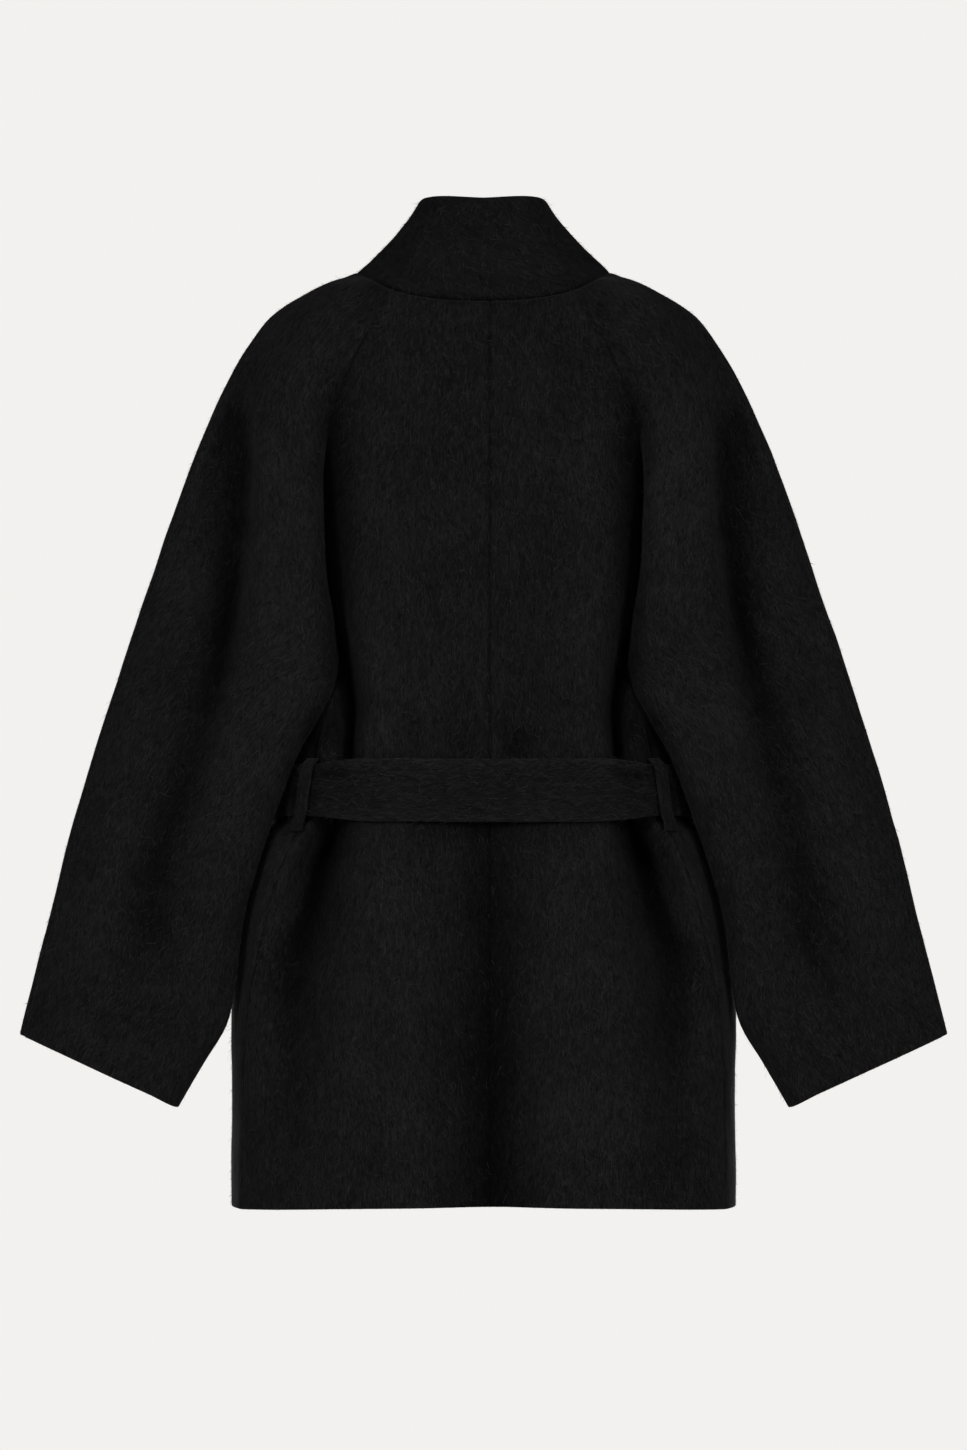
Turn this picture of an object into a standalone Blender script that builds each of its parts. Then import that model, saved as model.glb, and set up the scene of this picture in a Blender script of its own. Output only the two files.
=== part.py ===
"""A short belted coat of brushed wool, standing filled out and empty.

Raglan sleeves in two halves, a two-piece back, wrapped fronts, a funnel collar, two belt loops and a
tie belt. Every panel is a thin wall between an outer and an inner skin, lofted through tables of
sections. The table lengths are millimetres. The coat's left is +X, its back is +Y and up is +Z.
"""

import math
from collections import namedtuple

import bmesh
import bpy
import numpy as np

# Driving sizes in metres
MM = 0.001
CLOTH = 0.0025
COLLAR_WALL = 0.0035
SEAM_GAP = 0.0003
CENTRE_SEAM = -5.0 * MM
FRONT_LAP = 45.0 * MM
LAP_LIFT = 4.8 * MM
LAP_FADE = 45.0 * MM
BELT_WIDTH = 52.0 * MM
BELT_NARROW = 34.0 * MM
BELT_WALL = 5.0 * MM
BELT_CLEAR = 1.4 * MM
BELT_LEVEL = -404.0 * MM
BELT_TAPER_BACK = 0.45
BELT_TAPER_FRONT = 1.1
LOOP_WIDTH = 15.0 * MM
LOOP_WALL = 2.6 * MM
LOOP_CLEAR = 1.2 * MM
COLLAR_FLARE = 1.22

# How finely the panels are divided
BACK_COLUMNS = 16
FRONT_COLUMNS = 14
SLEEVE_BACK_COLUMNS = 12
SLEEVE_FRONT_COLUMNS = 9
COLLAR_ROWS = 6
BELT_STEPS = 52

# Body sections, from the neck to the hem: half width, depth of the widest line, centre back, centre front
Level = namedtuple("Level", "z half_width middle back front square")
BODY = [
    Level(30, 150, -5, 52, -50, 2.3),
    Level(0, 165, -5, 71, -66, 2.3),
    Level(-60, 173, -5, 92, -92, 2.4),
    Level(-120, 172, -5, 105, -112, 2.4),
    Level(-200, 168, -5, 111, -122, 2.5),
    Level(-280, 159, -5, 107, -117, 2.6),
    Level(-334, 152, -6, 101, -108, 2.6),
    Level(-370, 167, -7, 97.5, -101.5, 2.6),
    Level(-382, 171, -7, 97.2, -101.2, 2.6),
    Level(-404, 172, -7, 97, -101, 2.6),
    Level(-426, 172, -7, 97.1, -101.1, 2.6),
    Level(-431, 175.5, -7, 97.4, -101.4, 2.6),
    Level(-437, 185, -8, 100, -104, 2.6),
    Level(-447, 190, -9, 105, -108, 2.6),
    Level(-470, 194.5, -10, 114, -116, 2.6),
    Level(-500, 200, -11, 122, -123, 2.6),
    Level(-540, 206, -12, 130, -130, 2.6),
    Level(-580, 208.5, -12, 136, -134, 2.6),
    Level(-660, 209, -12, 143, -139, 2.6),
    Level(-750, 209, -12, 148, -143, 2.6),
]

# Troughs pressed into the body: place across, depth, and spread towards and away from the centre
Fold = namedtuple("Fold", "z across depth inner outer")
SIDE_FOLD = [
    Fold(30, 74, 0, 10, 10),
    Fold(-60, 112, 0, 10, 10),
    Fold(-95, 124, 5, 10, 10),
    Fold(-118, 130, 12, 10, 10),
    Fold(-160, 132, 26, 10, 10),
    Fold(-200, 131, 36, 10, 10),
    Fold(-250, 127, 40, 9, 9),
    Fold(-290, 119, 38, 8, 8),
    Fold(-338, 112, 34, 7, 7),
    Fold(-372, 111, 30, 6, 7),
    Fold(-404, 113, 24, 6, 7),
    Fold(-432, 122, 34, 8, 9),
    Fold(-460, 136, 48, 10, 10),
    Fold(-500, 145, 42, 12, 12),
    Fold(-540, 152, 30, 14, 14),
    Fold(-600, 158, 17, 18, 17),
    Fold(-680, 160, 7, 20, 18),
    Fold(-750, 160, 2, 20, 18),
]
CENTRE_FOLD = [
    Fold(-430, -6, 3, 24, 24),
    Fold(-480, -6, 14, 24, 24),
    Fold(-560, -6, 26, 23, 23),
    Fold(-650, -7, 35, 22, 22),
    Fold(-750, -8, 41, 22, 21),
]
FRONT_FOLD = [
    Fold(-430, 92, 4, 16, 16),
    Fold(-470, 98, 16, 16, 18),
    Fold(-540, 106, 13, 20, 20),
    Fold(-640, 112, 8, 22, 22),
    Fold(-750, 116, 5, 24, 24),
]

# Edges of the back and front panels: the raglan seams down to the underarm, then the side seam
Edge = namedtuple("Edge", "z across")
BACK_RAGLAN = [
    Edge(8.8, 74),
    Edge(-20, 92),
    Edge(-60, 112),
    Edge(-95, 124),
    Edge(-118, 130),
    Edge(-160, 132),
    Edge(-200, 131),
    Edge(-250, 127),
    Edge(-290, 120),
    Edge(-312, 120),
    Edge(-326, 125),
    Edge(-334, 130),
]
Turn = namedtuple("Turn", "z degrees")
FRONT_RAGLAN = [
    Turn(2, 151),
    Turn(-50, 142),
    Turn(-110, 134),
    Turn(-180, 128),
    Turn(-250, 119),
    Turn(-300, 106),
    Turn(-325, 85),
    Turn(-334, 56),
]
SIDE_SEAM = [
    Edge(-334, 130),
    Edge(-352, 134),
    Edge(-372, 138),
    Edge(-404, 143),
    Edge(-425, 146),
    Edge(-434, 151),
    Edge(-446, 158),
    Edge(-470, 168),
    Edge(-500, 177),
    Edge(-540, 186),
    Edge(-580, 194),
    Edge(-620, 197.5),
    Edge(-680, 199),
    Edge(-750, 200),
]
UNDERARM = -334
NECK_CENTRE_BACK = 0
NECK_CENTRE_FRONT = -75
CHEST_ROW = -346
HEM_RISE = 3.5
SKIRT_ROWS = [-361, -376, -404, -424, -431, -438, -446, -456, -474]
SKIRT_ROWS += [-502, -535, -575, -620, -670, -712, -750]

# Sleeve rows above the underarm: where the row meets each raglan seam, its overarm point, the depth of
# the back skin near the seam, over the roll, in the middle and near the overarm line, the front's
# fullness and its share near the seam and over the roll, how steep a wall stands at the back seam, and
# the tilt of the fullness over the shoulder
Raglan = namedtuple(
    "Raglan",
    "back_z front_z over_a over_z over_y near roll mid edge front_full front_near front_roll wall tilt",
)
RAGLAN = [
    Raglan(8.8, 2, 105, 24, -2, 54.5, 47.6, 34, 9.4, 8, 0.14, 0.55, 0, 60),
    Raglan(-8, -16, 128, 14.5, -4, 61.3, 54.9, 41, 11.3, 14, 0.14, 0.55, 0, 55),
    Raglan(-30, -40, 153, 1.7, -6, 69, 63.8, 50.3, 14.2, 20, 0.14, 0.55, 0, 48),
    Raglan(-58, -70, 175, -11.6, -7, 73.5, 71.3, 59.7, 18.6, 26, 0.14, 0.55, 0.1, 36),
    Raglan(-95, -105, 194, -36, -7, 74.8, 77.6, 67.6, 24, 34, 0.14, 0.55, 0.35, 20),
    Raglan(-132, -140, 212, -66, -5, 75, 83, 74, 31, 36.5, 0.14, 0.55, 0.7, 8),
    Raglan(-178, -182, 234, -114, -2, 77, 88, 79, 35, 36.5, 0.14, 0.55, 1, 0),
    Raglan(-226, -226, 255, -169, 0, 77, 90, 82, 37, 36.5, 0.14, 0.55, 1, 0),
    Raglan(-272, -268, 275, -229, 0, 75, 89, 82, 38, 39.5, 0.14, 0.55, 1, 0),
    Raglan(-306, -300, 287, -262, 0, 73, 87, 81, 38, 46, 0.14, 0.6, 1, 0),
    Raglan(-325, -323, 292, -277, 0, 73, 85, 80, 38, 63, 0.05, 0.9, 1, 0),
    Raglan(-330, -330.5, 294, -283, 0, 74, 84, 79, 38, 83, 0.05, 0.95, 1, 0),
]

# Sleeve rows from the underarm to the cuff: underarm seam point, overarm point, depths of the back skin
# and of the front skin near the seam, over the roll, in the middle and near the overarm line, and how
# far the front skin stands off beside the body
Arm = namedtuple(
    "Arm",
    "in_a in_z in_y over_a over_z over_y near roll mid edge front_near front_roll front_mid front_edge hip",
)
ARM = [
    Arm(130, -334, 62.78, 296, -289, 0, 75, 82, 78, 38, 26, -45, -61, -33, 32),
    Arm(152, -374, 66, 306, -319, 0, 74, 80, 76, 38, 27, -36, -56, -33, 27),
    Arm(164.5, -405, 60, 317, -353, 0, 68, 75, 72, 38, 27, -24, -50, -33, 18),
    Arm(182.5, -455, 56, 332, -403, -1, 63, 69, 67, 37, 27, -14, -43, -32, 9),
    Arm(198, -508, 52, 347, -457, -2, 58, 64, 61, 36, 27, -6, -36, -30, 7),
    Arm(205, -560, 50, 360, -511, -2, 55, 60, 57, 34, 26, 0, -31, -28, 6),
    Arm(212, -596, 42, 371, -553, -2, 48, 54, 52, 31, 20, -3, -29, -26, 6),
    Arm(232, -630, 30, 378, -581, -1, 37, 45, 45, 27, 11, -8, -27, -23, 5),
    Arm(253, -666.5, 20, 384, -607, 0, 28, 37, 38, 23, 4, -12, -26, -20, 4),
]

# The long fold down the back of each sleeve, by row number and share of the row
SleeveFold = namedtuple("SleeveFold", "row share depth inner outer")
SLEEVE_FOLD = [
    SleeveFold(3, 0.93, 0, 0.08, 0.2),
    SleeveFold(5, 0.83, 9, 0.08, 0.17),
    SleeveFold(6, 0.74, 16, 0.075, 0.16),
    SleeveFold(7, 0.65, 21, 0.075, 0.15),
    SleeveFold(8, 0.6, 22, 0.075, 0.15),
    SleeveFold(12, 0.55, 18, 0.09, 0.16),
    SleeveFold(14, 0.5, 11, 0.12, 0.17),
    SleeveFold(16, 0.42, 7, 0.15, 0.22),
    SleeveFold(18, 0.36, 3, 0.15, 0.22),
    SleeveFold(20, 0.3, 0, 0.14, 0.22),
]
OVERARM_SHIFT = 0.3
ARMPIT_ROWS = (9, 14)
RELAX_PASSES = 8
RELAX_REACH = 3

# How far a belt loop stands out over the belt, from its upper to its lower end
LoopLevel = namedtuple("LoopLevel", "z raised")
LOOP_LEVELS = [
    LoopLevel(-375, 0),
    LoopLevel(-378, 0.14),
    LoopLevel(-382, 0.62),
    LoopLevel(-386, 1),
    LoopLevel(-392, 1),
    LoopLevel(-404, 1),
    LoopLevel(-416, 1),
    LoopLevel(-425, 1),
    LoopLevel(-430, 0.8),
    LoopLevel(-434, 0.4),
    LoopLevel(-438, 0),
]

# Top edge of the collar
COLLAR_TOP_HALF = 54.0 * MM
COLLAR_TOP_BACK = 53.0 * MM
COLLAR_TOP_FRONT = -62.0 * MM
COLLAR_TOP_SQUARE = 2.3
CollarTop = namedtuple("CollarTop", "turn z")
COLLAR_TOP = [
    CollarTop(0, 85),
    CollarTop(40, 87),
    CollarTop(62, 86),
    CollarTop(90, 78),
    CollarTop(130, 60),
    CollarTop(180, 44),
]

# Belt knot and tails
KNOT_SIZE = (48.0 * MM, 26.0 * MM, 62.0 * MM)
KNOT_ACROSS = 12.0 * MM
KNOT_SQUARE = 2.8
KNOT_AROUND = 14
KNOT_RISE = 8
TAIL_WIDTH = 50.0 * MM
TAIL_STEPS = 12
TAIL_CLEAR = 3.0 * MM
TAIL_WALL = 4.0 * MM
TAIL_SETTLE = 0.3
Tail = namedtuple("Tail", "name across spread bottom_z off at_knot")
TAILS = [
    Tail("belt_tail_left", 22, 26, -716, 0, 2.2),
    Tail("belt_tail_right", 2, -36, -690, 6.5, -2.2),
]

WOOL = (0.012, 0.012, 0.0125, 1.0)
WOOL_ROUGHNESS = 0.95


def glide(xs, ys, at):
    """A smooth curve through the points that never overshoots them, read at any place."""
    steps = np.diff(xs)
    slopes = np.diff(ys) / steps
    tangents = np.zeros(len(ys))
    tangents[0] = slopes[0]
    tangents[-1] = slopes[-1]
    before = slopes[:-1]
    after = slopes[1:]
    climbing = before * after > 0
    total = np.where(climbing, before + after, 1.0)
    tangents[1:-1] = np.where(climbing, 2 * before * after / total, 0.0)
    at = np.clip(at, xs[0], xs[-1])
    k = np.clip(np.searchsorted(xs, at, side="right") - 1, 0, len(xs) - 2)
    width = steps[k]
    t = (at - xs[k]) / width
    rise = (1 + 2 * t) * (1 - t) ** 2 * ys[k] + t * t * (3 - 2 * t) * ys[k + 1]
    bend = t * (1 - t) ** 2 * tangents[k] - t * t * (1 - t) * tangents[k + 1]
    return rise + width * bend


def read(table, name, at):
    """One column of a table as a smooth curve along its first column."""
    xs = np.array([row[0] for row in table], float)
    ys = np.array([getattr(row, name) for row in table], float)
    if xs[0] > xs[-1]:
        xs = xs[::-1]
        ys = ys[::-1]
    return glide(xs, ys, np.asarray(at, float))


def ease(t):
    t = np.clip(t, 0.0, 1.0)
    return t * t * (3 - 2 * t)


def trough(across, fold, z):
    """Depth of a fold at a place: a soft trough with its own spread on each side."""
    off = across - read(fold, "across", z)
    spread = np.where(off < 0, read(fold, "inner", z), read(fold, "outer", z))
    faded = ease((fold[0].z + 30 - z) / 30) if fold[0].z < -400 else 1.0
    return faded * read(fold, "depth", z) * np.exp(-0.5 * (off / spread) ** 2)


def back_depth(across, z):
    """Depth of the back's outer skin, in millimetres, at a signed place across."""
    half = read(BODY, "half_width", z)
    middle = read(BODY, "middle", z)
    square = read(BODY, "square", z)
    reach = np.clip(np.abs(across) / half, 0, 1)
    y = middle + (read(BODY, "back", z) - middle) * (1 - reach**square) ** (1 / square)
    return y - trough(np.abs(across), SIDE_FOLD, z) - trough(across, CENTRE_FOLD, z)


def ring_point(turn, z):
    """A point on the body's section at a turn from the centre back, going round past the centre front."""
    half = read(BODY, "half_width", z)
    middle = read(BODY, "middle", z)
    power = 2 / read(BODY, "square", z)
    sine = np.sin(turn)
    cosine = np.cos(turn)
    across = half * np.sign(sine) * np.abs(sine) ** power
    reach = np.where(cosine > 0, read(BODY, "back", z) - middle, middle - read(BODY, "front", z))
    return across, middle + reach * np.sign(cosine) * np.abs(cosine) ** power


def turn_at(across, z):
    """The turn at which the back of the body's section reaches a place across."""
    reach = np.clip(across / read(BODY, "half_width", z), 0, 1)
    return float(np.arcsin(reach ** (read(BODY, "square", z) / 2)))


def front_edge_turn(z):
    """The turn at which a front panel begins: on its raglan seam, or below the arm on the side seam."""
    if z > UNDERARM:
        return math.radians(float(read(FRONT_RAGLAN, "degrees", z)))
    return turn_at(read(SIDE_SEAM, "across", z), z)


def unit(vectors):
    return vectors / np.maximum(np.linalg.norm(vectors, axis=-1, keepdims=True), 1e-12)


def skin_normals(grid, middle):
    """Unit normals of a grid of points, all on the side away from a line of middle points."""
    along = np.gradient(grid, axis=0)
    across = np.gradient(grid, axis=1)
    normals = unit(np.cross(along, across))
    return normals * np.sign(np.sum(normals * (grid - middle)))


def spline(points, places):
    """A smooth curve through the control points, read at places counted in control points."""
    points = np.asarray(points, float)
    chords = np.sqrt(np.linalg.norm(np.diff(points, axis=0), axis=1))
    knots = np.concatenate([[0.0], np.cumsum(chords)])
    slopes = np.diff(points, axis=0) / np.diff(knots)[:, None]
    tangents = np.empty_like(points)
    tangents[0] = slopes[0]
    tangents[-1] = slopes[-1]
    before = np.diff(knots)[:-1, None]
    after = np.diff(knots)[1:, None]
    tangents[1:-1] = (slopes[:-1] * after + slopes[1:] * before) / (before + after)
    k = np.clip(np.floor(places).astype(int), 0, len(points) - 2)
    t = (np.asarray(places) - k)[:, None]
    width = np.diff(knots)[k][:, None]
    rise = (1 + 2 * t) * (1 - t) ** 2 * points[k] + t * t * (3 - 2 * t) * points[k + 1]
    bend = t * (1 - t) ** 2 * tangents[k] - t * t * (1 - t) * tangents[k + 1]
    return rise + width * bend


def panel_rows():
    """Levels of each body row: centre back, centre front, back edge and front edge."""
    share = np.linspace(0, 1, len(RAGLAN) + 1)
    centre_back = NECK_CENTRE_BACK + (CHEST_ROW - NECK_CENTRE_BACK) * share
    centre_front = NECK_CENTRE_FRONT + (CHEST_ROW - NECK_CENTRE_FRONT) * share
    back_edge = np.array([row.back_z for row in RAGLAN] + [UNDERARM], float)
    front_edge = np.array([row.front_z for row in RAGLAN] + [UNDERARM], float)
    skirt = np.array(SKIRT_ROWS, float)
    risen = skirt + HEM_RISE * (skirt - skirt[0]) / (skirt[-1] - skirt[0])
    tables = ((centre_back, risen), (centre_front, risen), (back_edge, skirt), (front_edge, skirt))
    return [np.concatenate(table) for table in tables]


def back_edge_across(z):
    return np.where(z >= UNDERARM, read(BACK_RAGLAN, "across", z), read(SIDE_SEAM, "across", z))


def crowded(start, stop, fold_at, spread, count):
    """Places from start to stop that crowd together round a fold."""
    fine = np.linspace(start, stop, 400)
    density = 1 + 3.2 * np.exp(-0.5 * ((np.abs(fine) - fold_at) / (1.6 * spread)) ** 2)
    total = np.concatenate([[0.0], np.cumsum((density[1:] + density[:-1]) / 2)])
    return np.interp(np.linspace(0, total[-1], count), total, fine)


def back_grid(side):
    """Outer skin of one back panel, columns from the centre seam outwards."""
    centre_z, _, edge_z, _ = panel_rows()
    rows = []
    for z_in, z_out in zip(centre_z, edge_z):
        edge = side * float(back_edge_across(z_out))
        fold_at = float(read(SIDE_FOLD, "across", z_out))
        spread = float(read(SIDE_FOLD, "inner", z_out))
        across = crowded(CENTRE_SEAM / MM, edge, fold_at, spread, BACK_COLUMNS)
        share = np.abs(across / edge)
        z = z_in + (z_out - z_in) * share**2.4
        rows.append(np.stack([across, back_depth(across, z), z], axis=-1))
    return np.array(rows) * MM


def front_grid(side, lift):
    """Outer skin of one front panel, columns from the raglan or side seam to the front edge."""
    _, centre_z, _, edge_z = panel_rows()
    share = np.linspace(0, 1, FRONT_COLUMNS)
    rows = []
    for z_in, z_out in zip(centre_z, edge_z):
        start = front_edge_turn(z_out)
        z = z_out + (z_in - z_out) * (1 - (1 - share) ** 1.8)
        lap = np.arcsin((FRONT_LAP / MM / read(BODY, "half_width", z)) ** (read(BODY, "square", z) / 2))
        across, y = ring_point(start + (math.pi + lap - start) * share, z)
        in_front = y < read(BODY, "middle", z)
        pressed = trough(np.abs(across), FRONT_FOLD, z)
        y = np.where(in_front, y + pressed, y - trough(np.abs(across), SIDE_FOLD, z))
        y = y - lift / MM * ease((FRONT_LAP + LAP_FADE - across * MM) / LAP_FADE) * in_front
        rows.append(np.stack([side * across, y, z], axis=-1))
    return np.array(rows) * MM


def sleeve_controls(row, side):
    """Control points of one sleeve row, from the back seam over the arm to the front seam."""
    if row < len(RAGLAN):
        at = RAGLAN[row]
        across = float(read(BACK_RAGLAN, "across", at.back_z))
        back = np.array([across + SEAM_GAP / MM, float(back_depth(side * across, at.back_z)), at.back_z])
        across, depth = ring_point(front_edge_turn(at.front_z), at.front_z)
        front = np.array([float(across) + SEAM_GAP / MM, float(depth), at.front_z])
        wall = at.wall
        tilt = math.tan(math.radians(at.tilt))
    else:
        at = ARM[row - len(RAGLAN)]
        back = np.array([at.in_a + SEAM_GAP / MM, at.in_y, at.in_z], float)
        front = back
        wall = 1.0
        tilt = 0.0
    over = np.array([at.over_a, at.over_y, at.over_z], float)
    near = 0.08 * (1 - wall) + 0.012 * wall if row < len(RAGLAN) else 0.03
    roll = 0.22 * (1 - wall) + 0.11 * wall
    points = [back]
    for share, depth in ((near, at.near), (roll, at.roll), (0.48, at.mid), (0.85, at.edge)):
        on_chord = back + (over - back) * share
        rise = depth - on_chord[1]
        points.append(on_chord + np.array([0, rise, rise * tilt]))
    points.append(over)
    if row < len(RAGLAN):
        for share, height in ((0.85, 0.56), (0.5, 1.0), (0.2, at.front_roll), (0.05, at.front_near)):
            rise = height * at.front_full
            drop = np.array([0, -rise, rise * tilt]) / math.hypot(1, tilt)
            points.append(front + (over - front) * share + drop)
    else:
        places = ((0.85, at.front_edge), (0.5, at.front_mid), (0.2, at.front_roll), (0.0, at.front_near))
        for share, depth in places:
            on_chord = front + (over - front) * share
            points.append(np.array([on_chord[0] + at.hip * (1 - share) ** 2, depth, on_chord[2]]))
    points.append(front)
    return np.array(points)


def relax(grid, first, last):
    """Even out a grid along its columns between two rows, less and less towards its edge columns."""
    column = np.arange(grid.shape[1])
    freedom = 0.5 * ease((np.minimum(column, column[::-1]) - 1) / RELAX_REACH)[:, None]
    for _ in range(RELAX_PASSES):
        for i in range(first, last):
            before = np.linalg.norm(grid[i] - grid[i - 1], axis=-1, keepdims=True)
            after = np.linalg.norm(grid[i + 1] - grid[i], axis=-1, keepdims=True)
            even = grid[i - 1] + (grid[i + 1] - grid[i - 1]) * before / (before + after)
            grid[i] += freedom * (even - grid[i])


def sleeve_grid(side):
    """Outer skin of one sleeve, columns from the back seam over the arm to the front one."""
    split = 5 - OVERARM_SHIFT
    places_back = np.linspace(0, split, SLEEVE_BACK_COLUMNS)
    places_front = np.linspace(5, 10, SLEEVE_FRONT_COLUMNS - 1)
    places = np.concatenate([places_back, places_front])
    rows = []
    for row in range(len(RAGLAN) + len(ARM)):
        points = sleeve_controls(row, side)
        if row >= len(RAGLAN):
            around = np.concatenate([points[-3:-1], points, points[1:3]])
            line = spline(around, places + 2)
        else:
            line = spline(points, places)
        share = (line[:, 0] - points[0, 0]) / (points[5, 0] - points[0, 0])
        off = share - read(SLEEVE_FOLD, "share", row)
        spread = np.where(off < 0, read(SLEEVE_FOLD, "inner", row), read(SLEEVE_FOLD, "outer", row))
        depth = read(SLEEVE_FOLD, "depth", row) * np.exp(-0.5 * (off / spread) ** 2)
        behind = ease((split - places) / 0.8) * ease(places)
        line[:, 1] -= depth * behind
        line[:, 0] *= side
        rows.append(line)
    grid = np.array(rows)
    relax(grid, *ARMPIT_ROWS)
    return grid * MM


def blend_edges(*edges):
    """Give meeting edges the same normals, so that their walls are mitred to each other."""
    shared = unit(sum(normals[at] for normals, at in edges))
    for normals, at in edges:
        normals[at] = shared


def drawn_back(grid, sides):
    """The grid with the named edges drawn back by half a seam gap."""
    moved = grid.copy()
    steps = {"top": (0, 1), "bottom": (-1, -2)}
    for name in sides:
        if name in steps:
            edge, inside = steps[name]
            moved[edge] += unit(grid[inside] - grid[edge]) * SEAM_GAP / 2
        else:
            edge, inside = (0, 1) if name == "first" else (-1, -2)
            moved[:, edge] += unit(grid[:, inside] - grid[:, edge]) * SEAM_GAP / 2
    return moved


def material(name):
    made = bpy.data.materials.new(name)
    made.use_nodes = True
    shader = made.node_tree.nodes["Principled BSDF"]
    shader.inputs["Base Color"].default_value = WOOL
    shader.inputs["Roughness"].default_value = WOOL_ROUGHNESS
    shader.inputs["Metallic"].default_value = 0.0
    return made


def add_object(name, bm, made):
    """Turn a finished mesh into a named object with outward faces and smooth shading."""
    bmesh.ops.recalc_face_normals(bm, faces=bm.faces)
    for face in bm.faces:
        face.smooth = True
    mesh = bpy.data.meshes.new(name)
    bm.to_mesh(mesh)
    bm.free()
    mesh.materials.append(made)
    obj = bpy.data.objects.new(name, mesh)
    bpy.context.scene.collection.objects.link(obj)


def wall(name, outer, inner, made):
    """A closed thin wall between two grids of points, its edges split alike on both sides of a seam."""
    bm = bmesh.new()
    rows, columns = outer.shape[:2]
    out = [[bm.verts.new(outer[i, j]) for j in range(columns)] for i in range(rows)]
    into = [[bm.verts.new(inner[i, j]) for j in range(columns)] for i in range(rows)]
    for i in range(rows - 1):
        for j in range(columns - 1):
            for skin in (out, into):
                bm.faces.new((skin[i][j], skin[i + 1][j], skin[i + 1][j + 1], skin[i][j + 1]))
    border = [(0, j) for j in range(columns)]
    border += [(i, columns - 1) for i in range(1, rows)]
    border += [(rows - 1, j) for j in range(columns - 2, -1, -1)]
    border += [(i, 0) for i in range(rows - 2, 0, -1)]
    for ends in zip(border, border[1:] + border[:1]):
        (i, j), (m, n) = sorted(ends)
        bm.faces.new((out[i][j], out[m][n], into[m][n]))
        bm.faces.new((out[i][j], into[m][n], into[i][j]))
    add_object(name, bm, made)


def bar(name, sections, made, closed=False):
    """A solid through a row of like sections, either capped at both ends or joined into a ring."""
    bm = bmesh.new()
    rings = [[bm.verts.new(point) for point in section] for section in sections]
    count = len(rings[0])
    pairs = list(zip(rings, rings[1:]))
    if closed:
        pairs.append((rings[-1], rings[0]))
    for first, second in pairs:
        for j in range(count):
            n = (j + 1) % count
            bm.faces.new((first[j], first[n], second[n], second[j]))
    if not closed:
        bm.faces.new(rings[0])
        bm.faces.new(rings[-1])
    add_object(name, bm, made)


def strap_section(centre, out, up, width, thick):
    """Outline of a soft strap: flat faces with rounded long edges."""
    corner = thick * 0.4
    half = width / 2
    profile = [
        (half - corner, thick / 2),
        (half, thick / 2 - corner),
        (half, corner - thick / 2),
        (half - corner, -thick / 2),
        (corner - half, -thick / 2),
        (-half, corner - thick / 2),
        (-half, thick / 2 - corner),
        (corner - half, thick / 2),
    ]
    return [centre + up * rise + out * depth for rise, depth in profile]


def belt_ring(turn, off):
    """A point of the belt's path: the waist section without its folds, moved out."""
    z = BELT_LEVEL / MM
    across, y = ring_point(turn, z)
    half = float(read(BODY, "half_width", z))
    middle = float(read(BODY, "middle", z))
    front = middle - float(read(BODY, "front", z))
    reach = float(read(BODY, "back", z)) - middle if math.cos(turn) > 0 else front
    grow = off / MM
    deep = (y - middle) * (reach + grow) / reach
    return np.array([across * (half + grow) / half, middle + deep, z]) * MM


def make_belt(made, loop_turn):
    """The stretch round the waist, narrowed where it passes the loops."""
    sections = []
    step = 2 * math.pi / BELT_STEPS
    up = np.array([0.0, 0.0, 1.0])
    for k in range(BELT_STEPS):
        turn = k * step
        front = ease((abs(turn - math.pi) * -1 + 1.5) / 0.9)
        off = BELT_CLEAR + LAP_LIFT * float(front) + BELT_WALL / 2
        centre = belt_ring(turn, off)
        ahead = belt_ring(turn + 0.01, off) - belt_ring(turn - 0.01, off)
        out = unit(np.cross(ahead, up))
        out *= math.copysign(1.0, float(np.dot(out[:2], centre[:2])))
        past = min(turn, 2 * math.pi - turn) - loop_turn
        near = past / BELT_TAPER_FRONT if past > 0 else -past / BELT_TAPER_BACK
        width = BELT_NARROW + (BELT_WIDTH - BELT_NARROW) * float(ease(near))
        sections.append(strap_section(centre, out, up, width, BELT_WALL))
    bar("belt_round", sections, made, closed=True)


def make_loops(made):
    """A strip on each side seam, standing out over the belt and sewn down above and below it."""
    turn = turn_at(read(SIDE_SEAM, "across", BELT_LEVEL / MM), BELT_LEVEL / MM)
    over_belt = BELT_CLEAR + BELT_WALL + LOOP_CLEAR
    ahead = unit(belt_ring(turn + 0.02, 0) - belt_ring(turn - 0.02, 0))
    out = np.array([ahead[1], -ahead[0], 0.0])
    out *= math.copysign(1.0, float(out[0]))
    for side, name in ((1, "belt_loop_left"), (-1, "belt_loop_right")):
        sections = []
        flip = np.array([side, 1, 1])
        for level in LOOP_LEVELS:
            across = float(read(SIDE_SEAM, "across", level.z))
            skin = np.array([across, float(back_depth(across, level.z)), level.z]) * MM
            stand = SEAM_GAP * 2 + LOOP_WALL / 2 + (over_belt - SEAM_GAP) * level.raised
            centre = skin + out * stand
            sections.append(strap_section(centre * flip, out * flip, ahead * flip, LOOP_WIDTH, LOOP_WALL))
        bar(name, sections, made)


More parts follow.
